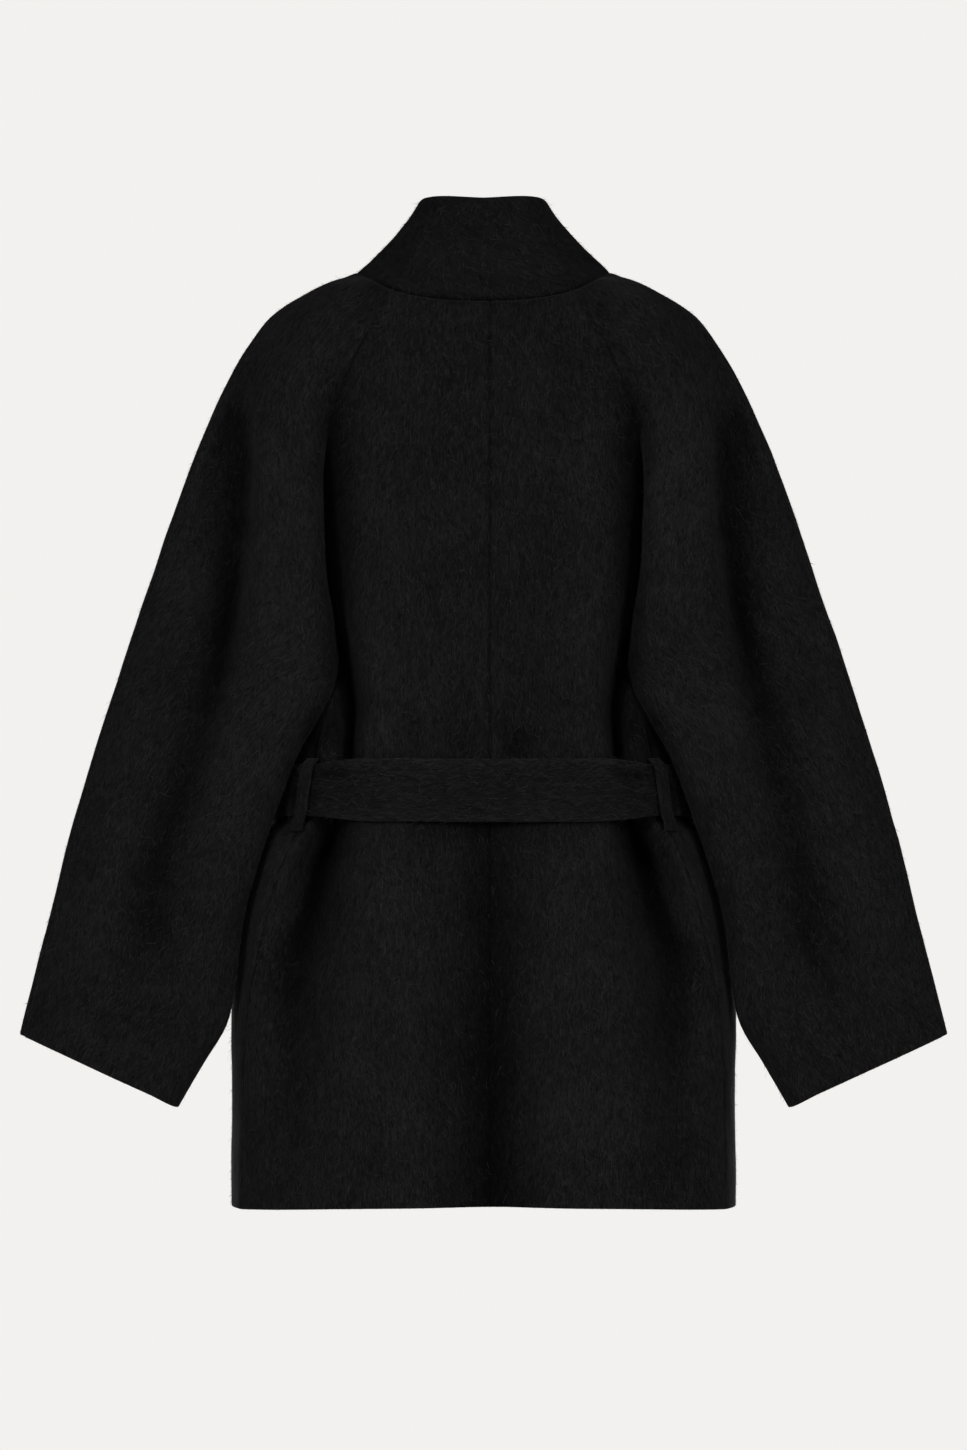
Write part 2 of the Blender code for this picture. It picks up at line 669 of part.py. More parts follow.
def make_collar(base, base_normals, made):
    """The funnel collar, raised on the neck edge and lapped at the centre front."""
    length = np.concatenate([[0.0], np.cumsum(np.linalg.norm(np.diff(base, axis=0), axis=1))])
    back = int(np.argmax(base[:, 1]))
    turns = np.where(length <= length[back], (length - length[back]) / length[back], 0.0)
    beyond = (length - length[back]) / (length[-1] - length[back])
    turns = np.where(length > length[back], beyond, turns)
    lap = math.asin((FRONT_LAP * 0.55 / COLLAR_TOP_HALF) ** (COLLAR_TOP_SQUARE / 2))
    turns = turns * (math.pi + lap)
    power = 2 / COLLAR_TOP_SQUARE
    grid = np.zeros((COLLAR_ROWS, len(base), 3))
    for j, turn in enumerate(turns):
        sine = math.sin(turn)
        cosine = math.cos(turn)
        reach = COLLAR_TOP_BACK if cosine > 0 else -COLLAR_TOP_FRONT
        over = float(ease((abs(turn) - math.pi + 0.9) / 0.6)) if turn < 0 else 0.0
        lift = 1 + over * (COLLAR_WALL + 1.2 * MM) / reach
        top = np.array(
            [
                COLLAR_TOP_HALF * math.copysign(abs(sine) ** power, sine),
                reach * math.copysign(abs(cosine) ** power, cosine) * lift,
                float(read(COLLAR_TOP, "z", min(math.degrees(abs(turn)), 180))) * MM,
            ]
        )
        for i in range(COLLAR_ROWS):
            share = i / (COLLAR_ROWS - 1)
            drawn = 1 - (1 - share) ** COLLAR_FLARE
            level = base[j, 2] + (top[2] - base[j, 2]) * share
            flat = base[j, :2] + (top[:2] - base[j, :2]) * drawn
            grid[i, j] = (flat[0], flat[1], level)
    normals = skin_normals(grid, np.array([0.0, 0.0, 0.0]))
    normals[0] = base_normals
    outer = drawn_back(grid, ("top",))
    wall("collar", outer, outer - normals * COLLAR_WALL, made)


def make_knot(made):
    """The tie at the centre front: a soft rounded lump in front of the belt."""
    width, deep, tall = KNOT_SIZE
    belt_face = belt_ring(math.pi, BELT_CLEAR + LAP_LIFT + BELT_WALL)[1] - SEAM_GAP
    centre = np.array([KNOT_ACROSS, belt_face - deep / 2, BELT_LEVEL])
    power = 2 / KNOT_SQUARE
    sections = []
    for i in range(1, KNOT_RISE):
        rise = math.pi * i / KNOT_RISE - math.pi / 2
        girth = math.cos(rise) ** power
        level = math.copysign(abs(math.sin(rise)) ** power, rise) * tall / 2
        ring = []
        for j in range(KNOT_AROUND):
            turn = 2 * math.pi * j / KNOT_AROUND
            dent = 1 - 0.08 * math.cos(2 * turn + 3 * rise)
            x = math.copysign(abs(math.cos(turn)) ** power, math.cos(turn)) * width / 2 * girth * dent
            y = math.copysign(abs(math.sin(turn)) ** power, math.sin(turn)) * deep / 2 * girth
            ring.append(centre + np.array([x, y, level]))
        sections.append(ring)
    bar("belt_knot", sections, made)
    return centre[1], sections[0][0][2]


def front_depth(across, z):
    """Depth of the foremost skin of the lapped fronts."""
    half = read(BODY, "half_width", z)
    middle = read(BODY, "middle", z)
    square = read(BODY, "square", z)
    y = middle - (middle - read(BODY, "front", z)) * (1 - (abs(across) / half) ** square) ** (1 / square)
    return float(y) - LAP_LIFT / MM


def make_tails(made, knot_y, knot_bottom):
    """Two ends that come out under the knot and then hang along the fronts."""
    top = (knot_bottom - SEAM_GAP) / MM
    out = np.array([0.0, -1.0, 0.0])
    for tail in TAILS:
        sections = []
        for k in range(TAIL_STEPS + 1):
            share = k / TAIL_STEPS
            z = top + (tail.bottom_z - top) * share
            across = tail.across + tail.spread * share
            hanging = front_depth(across, z) - (TAIL_CLEAR + TAIL_WALL / 2) / MM - tail.off
            settled = float(ease(share / TAIL_SETTLE))
            tied = knot_y / MM + tail.at_knot
            centre = np.array([across, tied + (hanging - tied) * settled, z]) * MM
            width = TAIL_WIDTH * (0.62 + 0.38 * float(ease(share / 0.35)))
            lean = settled * math.atan2(tail.spread, top - tail.bottom_z)
            along = np.array([math.cos(lean), 0.0, math.sin(lean)])
            sections.append(strap_section(centre, out, along, width, TAIL_WALL))
        bar(tail.name, sections, made)


for old in list(bpy.data.objects):
    bpy.data.objects.remove(old, do_unlink=True)

coat_wool = material("coat_wool")
belt_wool = material("belt_wool")
neck = {}
for side, hand, lift in ((1, "left", 0.0), (-1, "right", LAP_LIFT)):
    back = back_grid(side)
    front = front_grid(side, lift)
    sleeve = sleeve_grid(side)
    under = len(RAGLAN)
    axis = np.array([0.0, 0.0, BELT_LEVEL])
    back_normals = skin_normals(back, axis)
    front_normals = skin_normals(front, axis)
    core = (sleeve[:, :1] + sleeve[:, SLEEVE_BACK_COLUMNS - 1 : SLEEVE_BACK_COLUMNS] + sleeve[:, -1:]) / 3
    sleeve_normals = skin_normals(sleeve, core)
    for i in range(under):
        blend_edges((back_normals, (i, -1)), (sleeve_normals, (i, 0)))
        blend_edges((front_normals, (i, 0)), (sleeve_normals, (i, -1)))
    for i in range(under, len(back)):
        blend_edges((back_normals, (i, -1)), (front_normals, (i, 0)))
    for i in range(under, len(sleeve)):
        blend_edges((sleeve_normals, (i, 0)), (sleeve_normals, (i, -1)))
    split = SLEEVE_BACK_COLUMNS - 1
    front_from = SLEEVE_BACK_COLUMNS
    sewn = ("first", "last", "top")
    pieces = [
        ("back_" + hand, back, back_normals, sewn),
        ("front_" + hand, front, front_normals, ("first", "top")),
        ("sleeve_back_" + hand, sleeve[:, :front_from], sleeve_normals[:, :front_from], sewn),
        ("sleeve_front_" + hand, sleeve[:, split:], sleeve_normals[:, split:], sewn),
    ]
    for name, grid, normals, seams in pieces:
        outer = drawn_back(grid, seams)
        wall(name, outer, outer - normals * CLOTH, coat_wool)
    neck[hand] = (
        np.concatenate([back[0, 1:], sleeve[0, 1:], front[0, 1:]]),
        np.concatenate([back_normals[0, 1:], sleeve_normals[0, 1:], front_normals[0, 1:]]),
        back[0, :1],
        back_normals[0, :1],
    )

right_points, right_normals, centre_point, centre_normal = neck["right"]
left_points, left_normals, _, _ = neck["left"]
neck_line = np.concatenate([right_points[::-1], centre_point, left_points])
neck_normals = np.concatenate([right_normals[::-1], centre_normal, left_normals])
neck_line = neck_line + np.array([0.0, 0.0, SEAM_GAP])
make_collar(neck_line, neck_normals, coat_wool)

seam_turn = turn_at(read(SIDE_SEAM, "across", BELT_LEVEL / MM), BELT_LEVEL / MM)
make_belt(belt_wool, seam_turn)
make_loops(coat_wool)
knot_depth, knot_underside = make_knot(belt_wool)
make_tails(belt_wool, knot_depth, knot_underside)
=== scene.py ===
# %% [markdown]
# # A short belted coat of brushed wool
# The coat stands filled out and empty, with its back to the camera. It has raglan sleeves, a funnel
# collar, fronts that wrap over each other and a tie belt carried in two loops at the side seams. The
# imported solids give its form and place. This lesson dresses them: fine cloth sheets with sewn seams and
# soft creases, a long-haired wool finish, and loose hairs laid over it.

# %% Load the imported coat
import math
from collections import namedtuple

import bpy
import numpy as np
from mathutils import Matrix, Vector, noise


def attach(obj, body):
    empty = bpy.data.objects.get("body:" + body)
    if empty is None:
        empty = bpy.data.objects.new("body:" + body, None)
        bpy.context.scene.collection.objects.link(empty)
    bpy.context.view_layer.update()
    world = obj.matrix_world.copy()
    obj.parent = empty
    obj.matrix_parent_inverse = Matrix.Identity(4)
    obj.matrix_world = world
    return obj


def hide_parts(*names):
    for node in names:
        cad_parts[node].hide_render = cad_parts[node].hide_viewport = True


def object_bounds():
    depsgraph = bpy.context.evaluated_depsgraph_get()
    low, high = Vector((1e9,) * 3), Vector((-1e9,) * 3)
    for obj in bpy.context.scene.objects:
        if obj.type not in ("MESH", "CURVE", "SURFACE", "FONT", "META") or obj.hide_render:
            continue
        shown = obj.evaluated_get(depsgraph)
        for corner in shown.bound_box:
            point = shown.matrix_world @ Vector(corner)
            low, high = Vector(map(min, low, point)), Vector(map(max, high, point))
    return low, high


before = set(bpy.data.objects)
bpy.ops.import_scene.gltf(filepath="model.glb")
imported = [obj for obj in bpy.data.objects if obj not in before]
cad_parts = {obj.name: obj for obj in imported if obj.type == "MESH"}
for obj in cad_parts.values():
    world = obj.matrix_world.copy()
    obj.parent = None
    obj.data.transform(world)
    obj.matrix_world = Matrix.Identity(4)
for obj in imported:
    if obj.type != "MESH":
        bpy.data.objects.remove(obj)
cad_low, cad_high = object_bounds()
cad_sides = [round(high - low, 3) for low, high in zip(cad_low, cad_high)]
print("solids:", len(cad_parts), "box", cad_sides)

# %% [markdown]
# ## The sizes a cutter would write down
# The camera sees only one side, but a coat is cut from measured lengths. So the form is kept as sizes
# in millimetres: levels of the body from the neck to the hem, folds pressed into it, seam lines across
# it, and rows of the sleeve. The solids are made from the same tables, so the cloth lies on them. Only
# a few sizes differ, which follow the photo more closely here: the folds are softer and deeper, the
# neck seam has a smoother arc, and the belt narrows less at its loops.

# %% Sizes that several pieces share
MM = 0.001
CENTRE_SEAM = -5.0 * MM
FRONT_LAP = 45.0 * MM
LAP_LIFT = 4.8 * MM
BELT_LEVEL = -404.0 * MM

print("fronts lap by", FRONT_LAP / MM, "mm past the middle, belt at", BELT_LEVEL / MM, "mm")

# %% Levels of the body
def named_rows(columns, rows):
    """Rows of sizes whose columns have names."""
    row = namedtuple("row", columns)
    return [row(*sizes) for sizes in rows]


# Body sections, from the neck to the hem: half width, depth of the widest line, of the centre back and of
# the centre front, and how square the section is
BODY = named_rows(
    "z half_width middle back front square",
    [
        (30, 150, -5, 52, -50, 2.3),
        (0, 165, -5, 71, -66, 2.3),
        (-60, 173, -5, 92, -92, 2.4),
        (-120, 172, -5, 105, -112, 2.4),
        (-200, 168, -5, 111, -122, 2.5),
        (-280, 159, -5, 107, -117, 2.6),
        (-334, 152, -6, 101, -108, 2.6),
        (-370, 167, -7, 97.5, -101.5, 2.6),
        (-382, 171, -7, 97.2, -101.2, 2.6),
        (-404, 172, -7, 97, -101, 2.6),
        (-426, 172, -7, 97.1, -101.1, 2.6),
        (-431, 175.5, -7, 97.4, -101.4, 2.6),
        (-437, 185, -8, 100, -104, 2.6),
        (-447, 190, -9, 105, -108, 2.6),
        (-470, 194.5, -10, 114, -116, 2.6),
        (-500, 200, -11, 122, -123, 2.6),
        (-540, 206, -12, 130, -130, 2.6),
        (-580, 208.5, -12, 136, -134, 2.6),
        (-660, 209, -12, 143, -139, 2.6),
        (-750, 209, -12, 148, -143, 2.6),
    ],
)

print("body levels:", len(BODY))

# %% Folds pressed into the body
# Troughs pressed into the body: place across, depth, and spread towards and away from the centre. The
# centre fold isn't mirrored: its first spread is to the coat's right and its second to the left
FOLD = "z across depth inner outer"
SIDE_FOLD = named_rows(
    FOLD,
    [
        (30, 74, 0, 12, 10),
        (-60, 112, 0, 14, 10),
        (-95, 124, 4, 15, 10),
        (-118, 130, 10, 15, 10),
        (-160, 132, 22, 14, 10),
        (-200, 131, 33, 13, 10),
        (-250, 127, 40, 11, 9),
        (-290, 118, 42, 9, 8),
        (-338, 108, 36, 6, 6),
        (-372, 110, 30, 4.5, 4.5),
        (-404, 112, 24, 5, 6),
        (-432, 121, 36, 9, 9),
        (-460, 131, 50, 14, 13),
        (-500, 142, 48, 17, 18),
        (-540, 152, 38, 19, 22),
        (-600, 159, 25, 20, 22),
        (-680, 161, 11, 20, 20),
        (-750, 160, 2, 20, 18),
    ],
)
CENTRE_FOLD = named_rows(
    FOLD,
    [
        (-424, -6, 6, 26, 28),
        (-460, -6, 16, 27, 33),
        (-500, -6, 23, 28, 35),
        (-560, -6, 29, 28, 35),
        (-650, -7, 37, 28, 34),
        (-750, -8, 43, 28, 32),
    ],
)
FRONT_FOLD = named_rows(
    FOLD,
    [
        (-430, 92, 4, 16, 16),
        (-470, 98, 16, 16, 18),
        (-540, 106, 13, 20, 20),
        (-640, 112, 8, 22, 22),
        (-750, 116, 5, 24, 24),
    ],
)

print("levels of the side, centre and front folds:", len(SIDE_FOLD), len(CENTRE_FOLD), len(FRONT_FOLD))

# %% Seam lines across the body
# Edges of the back and front panels: the raglan seams down to the underarm, then the side seam. The front
# raglan seam is given by its turn from the centre back
BACK_RAGLAN = named_rows(
    "z across",
    [
        (8.8, 74), (-20, 92), (-60, 112), (-95, 124), (-118, 130), (-160, 132),
        (-200, 131), (-250, 127), (-290, 120), (-312, 120), (-326, 125), (-334, 130),
    ],
)
FRONT_RAGLAN = named_rows(
    "z degrees",
    [(2, 151), (-50, 142), (-110, 134), (-180, 128), (-250, 119), (-300, 106), (-325, 85), (-334, 56)],
)
SIDE_SEAM = named_rows(
    "z across",
    [
        (-334, 130), (-352, 134), (-372, 138), (-404, 143), (-425, 146), (-434, 151), (-446, 158),
        (-470, 168), (-500, 177), (-540, 186), (-580, 194), (-620, 197.5), (-680, 199), (-750, 200),
    ],
)
UNDERARM = -334
NECK_CENTRE_BACK = 0
NECK_CENTRE_FRONT = -75
CHEST_ROW = -346
HEM_RISE = 3.5
SKIRT_ROWS = [-361, -376, -404, -424, -431, -438, -446, -456, -474, -502]
SKIRT_ROWS += [-535, -575, -620, -670, -712, -750]

print("skirt rows:", len(SKIRT_ROWS))

# %% Sleeve rows above the underarm
# Where the row meets each raglan seam, its overarm point, the depth of the back skin near the seam, over
# the roll, in the middle and near the overarm line, the front's fullness and its share near the seam and
# over the roll, how steep a wall stands at the back seam, and the tilt of the fullness over the shoulder
RAGLAN = named_rows(
    "back_z front_z over_a over_z over_y near roll mid edge front_full front_near front_roll wall tilt",
    [
        (8.8, 2, 105, 24, -2, 55.5, 50, 38.5, 12, 8, 0.14, 0.55, 0, 0),
        (-8, -16, 128, 14.5, -4, 61.3, 54.9, 41, 11.3, 14, 0.14, 0.55, 0, 55),
        (-30, -40, 153, 1.7, -6, 69, 63.8, 50.3, 14.2, 20, 0.14, 0.55, 0, 48),
        (-58, -70, 175, -11.6, -7, 73.5, 71.3, 59.7, 18.6, 26, 0.14, 0.55, 0.1, 36),
        (-95, -105, 194, -36, -7, 74.8, 77.6, 67.6, 24, 34, 0.14, 0.55, 0.35, 20),
        (-132, -140, 212, -66, -5, 75, 83, 74, 31, 36.5, 0.14, 0.55, 0.7, 8),
        (-178, -182, 234, -114, -2, 77, 88, 79, 35, 36.5, 0.14, 0.55, 1, 0),
        (-226, -226, 255, -169, 0, 77, 90, 82, 37, 36.5, 0.14, 0.55, 1, 0),
        (-272, -268, 275, -229, 0, 75, 89, 82, 38, 39.5, 0.14, 0.55, 1, 0),
        (-306, -300, 287, -262, 0, 73, 87, 81, 38, 46, 0.14, 0.6, 1, 0),
        (-325, -323, 292, -277, 0, 73, 85, 80, 38, 63, 0.05, 0.9, 1, 0),
        (-330, -330.5, 294, -283, 0, 74, 84, 79, 38, 83, 0.05, 0.95, 1, 0),
    ],
)

print("rows above the underarm:", len(RAGLAN))

# %% Sleeve rows below the underarm
# From the underarm to the cuff: underarm seam point, overarm point, depths of the back skin and of the
# front skin near the seam, over the roll, in the middle and near the overarm line, and how far the front
# skin stands off beside the body
ARM = named_rows(
    "in_a in_z in_y over_a over_z over_y near roll mid edge front_near front_roll front_mid front_edge hip",
    [
        (130, -334, 62.78, 296, -289, 0, 75, 82, 78, 38, 26, -45, -61, -33, 32),
        (152, -374, 66, 306, -319, 0, 74, 80, 76, 38, 27, -36, -56, -33, 27),
        (164.5, -405, 60, 317, -353, 0, 68, 75, 72, 38, 27, -24, -50, -33, 18),
        (182.5, -455, 56, 332, -403, -1, 63, 69, 67, 37, 27, -14, -43, -32, 9),
        (198, -508, 52, 347, -457, -2, 58, 64, 61, 36, 27, -6, -36, -30, 7),
        (205, -560, 50, 360, -511, -2, 55, 60, 57, 34, 26, 0, -31, -28, 6),
        (212, -596, 42, 371, -553, -2, 48, 54, 52, 31, 20, -3, -29, -26, 6),
        (232, -630, 30, 378, -581, -1, 37, 45, 45, 27, 11, -8, -27, -23, 5),
        (253, -666.5, 20, 384, -607, 0, 28, 37, 38, 23, 4, -12, -26, -20, 4),
    ],
)

print("rows below the underarm:", len(ARM))

# %% Fold of the sleeve
# The long fold down the back of each sleeve, by row number and share of the row
SLEEVE_FOLD = named_rows(
    "row share depth inner outer",
    [
        (3, 0.93, 0, 0.08, 0.2),
        (5, 0.83, 9, 0.08, 0.17),
        (6, 0.74, 16, 0.075, 0.16),
        (7, 0.65, 21, 0.075, 0.15),
        (8, 0.6, 22, 0.075, 0.15),
        (12, 0.55, 18, 0.09, 0.16),
        (14, 0.5, 11, 0.12, 0.17),
        (16, 0.42, 7, 0.15, 0.22),
        (18, 0.36, 3, 0.15, 0.22),
        (20, 0.3, 0, 0.14, 0.22),
    ],
)

print("levels of the sleeve fold:", len(SLEEVE_FOLD))

# %% [markdown]
# ## Smooth curves through the sizes
# A few measured levels say enough about a coat, but straight lines between them would leave corners in
# the cloth. Each column of a table is therefore read as a curve that passes through the sizes without
# overshooting them. A section of the body is a rounded box: an oval swollen towards its corners, with
# the folds taken out of it.

# %% Read a table as smooth curves
def between(t, width, start, stop, leaving, arriving):
    """A smooth step from one point to the next, with the slope given at both."""
    rise = (1 + 2 * t) * (1 - t) ** 2 * start + t * t * (3 - 2 * t) * stop
    bend = t * (1 - t) ** 2 * leaving - t * t * (1 - t) * arriving
    return rise + width * bend


def glide(xs, ys, at):
    """A smooth curve through the points that never overshoots them, read at any place."""
    steps = np.diff(xs)
    slopes = np.diff(ys) / steps
    tangents = np.zeros(len(ys))
    tangents[0] = slopes[0]
    tangents[-1] = slopes[-1]
    before = slopes[:-1]
    after = slopes[1:]
    climbing = before * after > 0
    total = np.where(climbing, before + after, 1.0)
    tangents[1:-1] = np.where(climbing, 2 * before * after / total, 0.0)
    at = np.clip(at, xs[0], xs[-1])
    k = np.clip(np.searchsorted(xs, at, side="right") - 1, 0, len(xs) - 2)
    t = (at - xs[k]) / steps[k]
    return between(t, steps[k], ys[k], ys[k + 1], tangents[k], tangents[k + 1])


def read(table, name, at):
    """One column of a table as a smooth curve along its first column."""
    xs = np.array([row[0] for row in table], float)
    ys = np.array([getattr(row, name) for row in table], float)
    if xs[0] > xs[-1]:
        xs = xs[::-1]
        ys = ys[::-1]
    return glide(xs, ys, np.asarray(at, float))


def read_row(table, at):
    """Every column of a table at a place, as one more row of it."""
    row = type(table[0])
    return row(at, *(read(table, name, at) for name in row._fields[1:]))


print("half width at the belt:", float(read(BODY, "half_width", BELT_LEVEL / MM)), "mm")

# %% Soft steps and curves in space
def ease(t):
    """A soft step from 0 to 1."""
    t = np.clip(t, 0.0, 1.0)
    return t * t * (3 - 2 * t)


def spline(points, places):
    """A smooth curve through the control points, read at places counted in control points."""
    points = np.asarray(points, float)
    chords = np.sqrt(np.linalg.norm(np.diff(points, axis=0), axis=1))
    knots = np.concatenate([[0.0], np.cumsum(chords)])
    slopes = np.diff(points, axis=0) / np.diff(knots)[:, None]
    tangents = np.empty_like(points)
    tangents[0] = slopes[0]
    tangents[-1] = slopes[-1]
    before = np.diff(knots)[:-1, None]
    after = np.diff(knots)[1:, None]
    tangents[1:-1] = (slopes[:-1] * after + slopes[1:] * before) / (before + after)
    k = np.clip(np.floor(places).astype(int), 0, len(points) - 2)
    t = (np.asarray(places) - k)[:, None]
    width = np.diff(knots)[k][:, None]
    return between(t, width, points[k], points[k + 1], tangents[k], tangents[k + 1])


print("a soft step at its thirds:", np.round(ease(np.linspace(0, 1, 4)), 2).tolist())

# %% Sections of the body
# A fold that begins under the waist fades in over this height, in millimetres
FOLD_FADE = 30
WAIST = -400


def trough(across, fold, z):
    """Depth of a fold at a place: a soft trough with its own spread on each side."""
    at = read_row(fold, z)
    off = across - at.across
    spread = np.where(off < 0, at.inner, at.outer)
    faded = ease((fold[0].z + FOLD_FADE - z) / FOLD_FADE) if fold[0].z < WAIST else 1.0
    return faded * at.depth * np.exp(-0.5 * (off / spread) ** 2)


def fullness(across, level):
    """How much of its depth in the middle a section still has at a place across."""
    reach = np.clip(np.abs(across) / level.half_width, 0, 1)
    return (1 - reach**level.square) ** (1 / level.square)


def back_depth(across, z):
    """Depth of the back's outer skin, in millimetres, at a signed place across."""
    level = read_row(BODY, z)
    y = level.middle + (level.back - level.middle) * fullness(across, level)
    return y - trough(np.abs(across), SIDE_FOLD, z) - trough(across, CENTRE_FOLD, z)


print("centre back at the hem:", round(float(back_depth(0.0, SKIRT_ROWS[-1])), 1), "mm behind the middle")

# %% Turns round the body
def swollen(value, square):
    """A sine or cosine drawn out, so that an oval fills towards the corners of a box."""
    return np.sign(value) * np.abs(value) ** (2 / square)


def ring_point(turn, z):
    """A point on the body's section at a turn from the centre back, going round past the centre front."""
    level = read_row(BODY, z)
    cosine = np.cos(turn)
    reach = np.where(cosine > 0, level.back - level.middle, level.middle - level.front)
    across = level.half_width * swollen(np.sin(turn), level.square)
    return across, level.middle + reach * swollen(cosine, level.square)


def turn_at(across, z):
    """The turn at which the back of the body's section reaches a place across."""
    reach = np.clip(across / read(BODY, "half_width", z), 0, 1)
    return float(np.arcsin(reach ** (read(BODY, "square", z) / 2)))


def front_edge_turn(z):
    """The turn at which a front panel begins: on its raglan seam, or below the arm on the side seam."""
    if z > UNDERARM:
        return math.radians(float(read(FRONT_RAGLAN, "degrees", z)))
    return turn_at(read(SIDE_SEAM, "across", z), z)


print("side seam at the hem:", round(math.degrees(front_edge_turn(SKIRT_ROWS[-1]))), "degrees round")

# %% [markdown]
# ## Panels as grids of points
# Each cut piece is a grid: rows run down the coat and columns run from one seam to the next. A back
# panel is read from the body levels, a front panel follows the same levels round to the lap, and a
# sleeve row is a smooth curve from the back seam over the arm to the front seam. Drawing such grids by
# hand would be slow and uneven. Working them out from the tables keeps both sides alike and lets every
# seam meet its neighbour.

# %% Columns and rows of the panels
BACK_COLUMNS = 48
FRONT_COLUMNS = 44
SLEEVE_BACK_COLUMNS = 45
SLEEVE_FRONT_COLUMNS = 29


def panel_rows():
    """Levels of each body row at the centre back, the centre front, the back edge and the front edge."""
    share = np.linspace(0, 1, len(RAGLAN) + 1)
    centre_back = NECK_CENTRE_BACK + (CHEST_ROW - NECK_CENTRE_BACK) * share
    centre_front = NECK_CENTRE_FRONT + (CHEST_ROW - NECK_CENTRE_FRONT) * share
    back_edge = np.array([row.back_z for row in RAGLAN] + [UNDERARM], float)
    front_edge = np.array([row.front_z for row in RAGLAN] + [UNDERARM], float)
    skirt = np.array(SKIRT_ROWS, float)
    risen = skirt + HEM_RISE * (skirt - skirt[0]) / (skirt[-1] - skirt[0])
    lines = ((centre_back, risen), (centre_front, risen), (back_edge, skirt), (front_edge, skirt))
    return [np.concatenate(line) for line in lines]


print("body rows:", len(panel_rows()[0]), "sleeve rows:", len(RAGLAN) + len(ARM))

# %% Back and front panels
LAP_FADE = 45.0 * MM
# A row changes from one level to the other: a back row late on its way out, a front row soon after its edge
BACK_ROW_BOW = 2.4
FRONT_ROW_BOW = 1.8


def back_edge_across(z):
    """Where a back panel ends: on its raglan seam, or below the arm on the side seam."""
    return np.where(z >= UNDERARM, read(BACK_RAGLAN, "across", z), read(SIDE_SEAM, "across", z))


def back_grid(side):
    """Outer skin of one back panel, columns from the centre seam outwards."""
    centre_z, _, edge_z, _ = panel_rows()
    share = np.linspace(0, 1, BACK_COLUMNS)
    rows = []
    for z_in, z_out in zip(centre_z, edge_z):
        edge = side * float(back_edge_across(z_out))
        across = CENTRE_SEAM / MM + (edge - CENTRE_SEAM / MM) * share
        z = z_in + (z_out - z_in) * np.abs(across / edge) ** BACK_ROW_BOW
        rows.append(np.stack([across, back_depth(across, z), z], axis=-1))
    return np.array(rows) * MM


def front_grid(side, lift):
    """Outer skin of one front panel, columns from the raglan or side seam to the front edge."""
    _, centre_z, _, edge_z = panel_rows()
    share = np.linspace(0, 1, FRONT_COLUMNS)
    rows = []
    for z_in, z_out in zip(centre_z, edge_z):
        start = front_edge_turn(z_out)
        z = z_out + (z_in - z_out) * (1 - (1 - share) ** FRONT_ROW_BOW)
        level = read_row(BODY, z)
        lap = np.arcsin((FRONT_LAP / MM / level.half_width) ** (level.square / 2))
        across, y = ring_point(start + (math.pi + lap - start) * share, z)
        in_front = y < level.middle
        pressed = trough(np.abs(across), FRONT_FOLD, z)
        y = np.where(in_front, y + pressed, y - trough(np.abs(across), SIDE_FOLD, z))
        y = y - lift / MM * ease((FRONT_LAP + LAP_FADE - across * MM) / LAP_FADE) * in_front
        rows.append(np.stack([side * across, y, z], axis=-1))
    return np.array(rows) * MM


print("back panel grid:", back_grid(1).shape, "front panel grid:", front_grid(1, 0.0).shape)

# %% Control points of a sleeve row
# Shares of the way from a seam to the overarm point, at which the depths in the tables hold. The soft and
# steep ones are for a back seam without and with a wall
NEAR_SOFT = 0.08
NEAR_STEEP = 0.012
NEAR_ARM = 0.03
ROLL_SOFT = 0.22
ROLL_STEEP = 0.11
MID = 0.48
EDGE = 0.85
FRONT_MID = 0.5
FRONT_ROLL = 0.2
FRONT_NEAR = 0.05
# Share of the front's fullness near the overarm line
EDGE_FULL = 0.56


def raglan_front(at, front, over, tilt):
    """Control points over the front of a row above the underarm, full between its two seams."""
    shares = (EDGE, FRONT_MID, FRONT_ROLL, FRONT_NEAR)
    points = []
    for share, height in zip(shares, (EDGE_FULL, 1.0, at.front_roll, at.front_near)):
        rise = height * at.front_full
        drop = np.array([0, -rise, rise * tilt]) / math.hypot(1, tilt)
        points.append(front + (over - front) * share + drop)
    return points


def arm_front(at, front, over):
    """Control points over the front of a row below the underarm, standing off beside the body."""
    depths = (at.front_edge, at.front_mid, at.front_roll, at.front_near)
    points = []
    for share, depth in zip((EDGE, FRONT_MID, FRONT_ROLL, 0.0), depths):
        on_chord = front + (over - front) * share
        points.append(np.array([on_chord[0] + at.hip * (1 - share) ** 2, depth, on_chord[2]]))
    return points


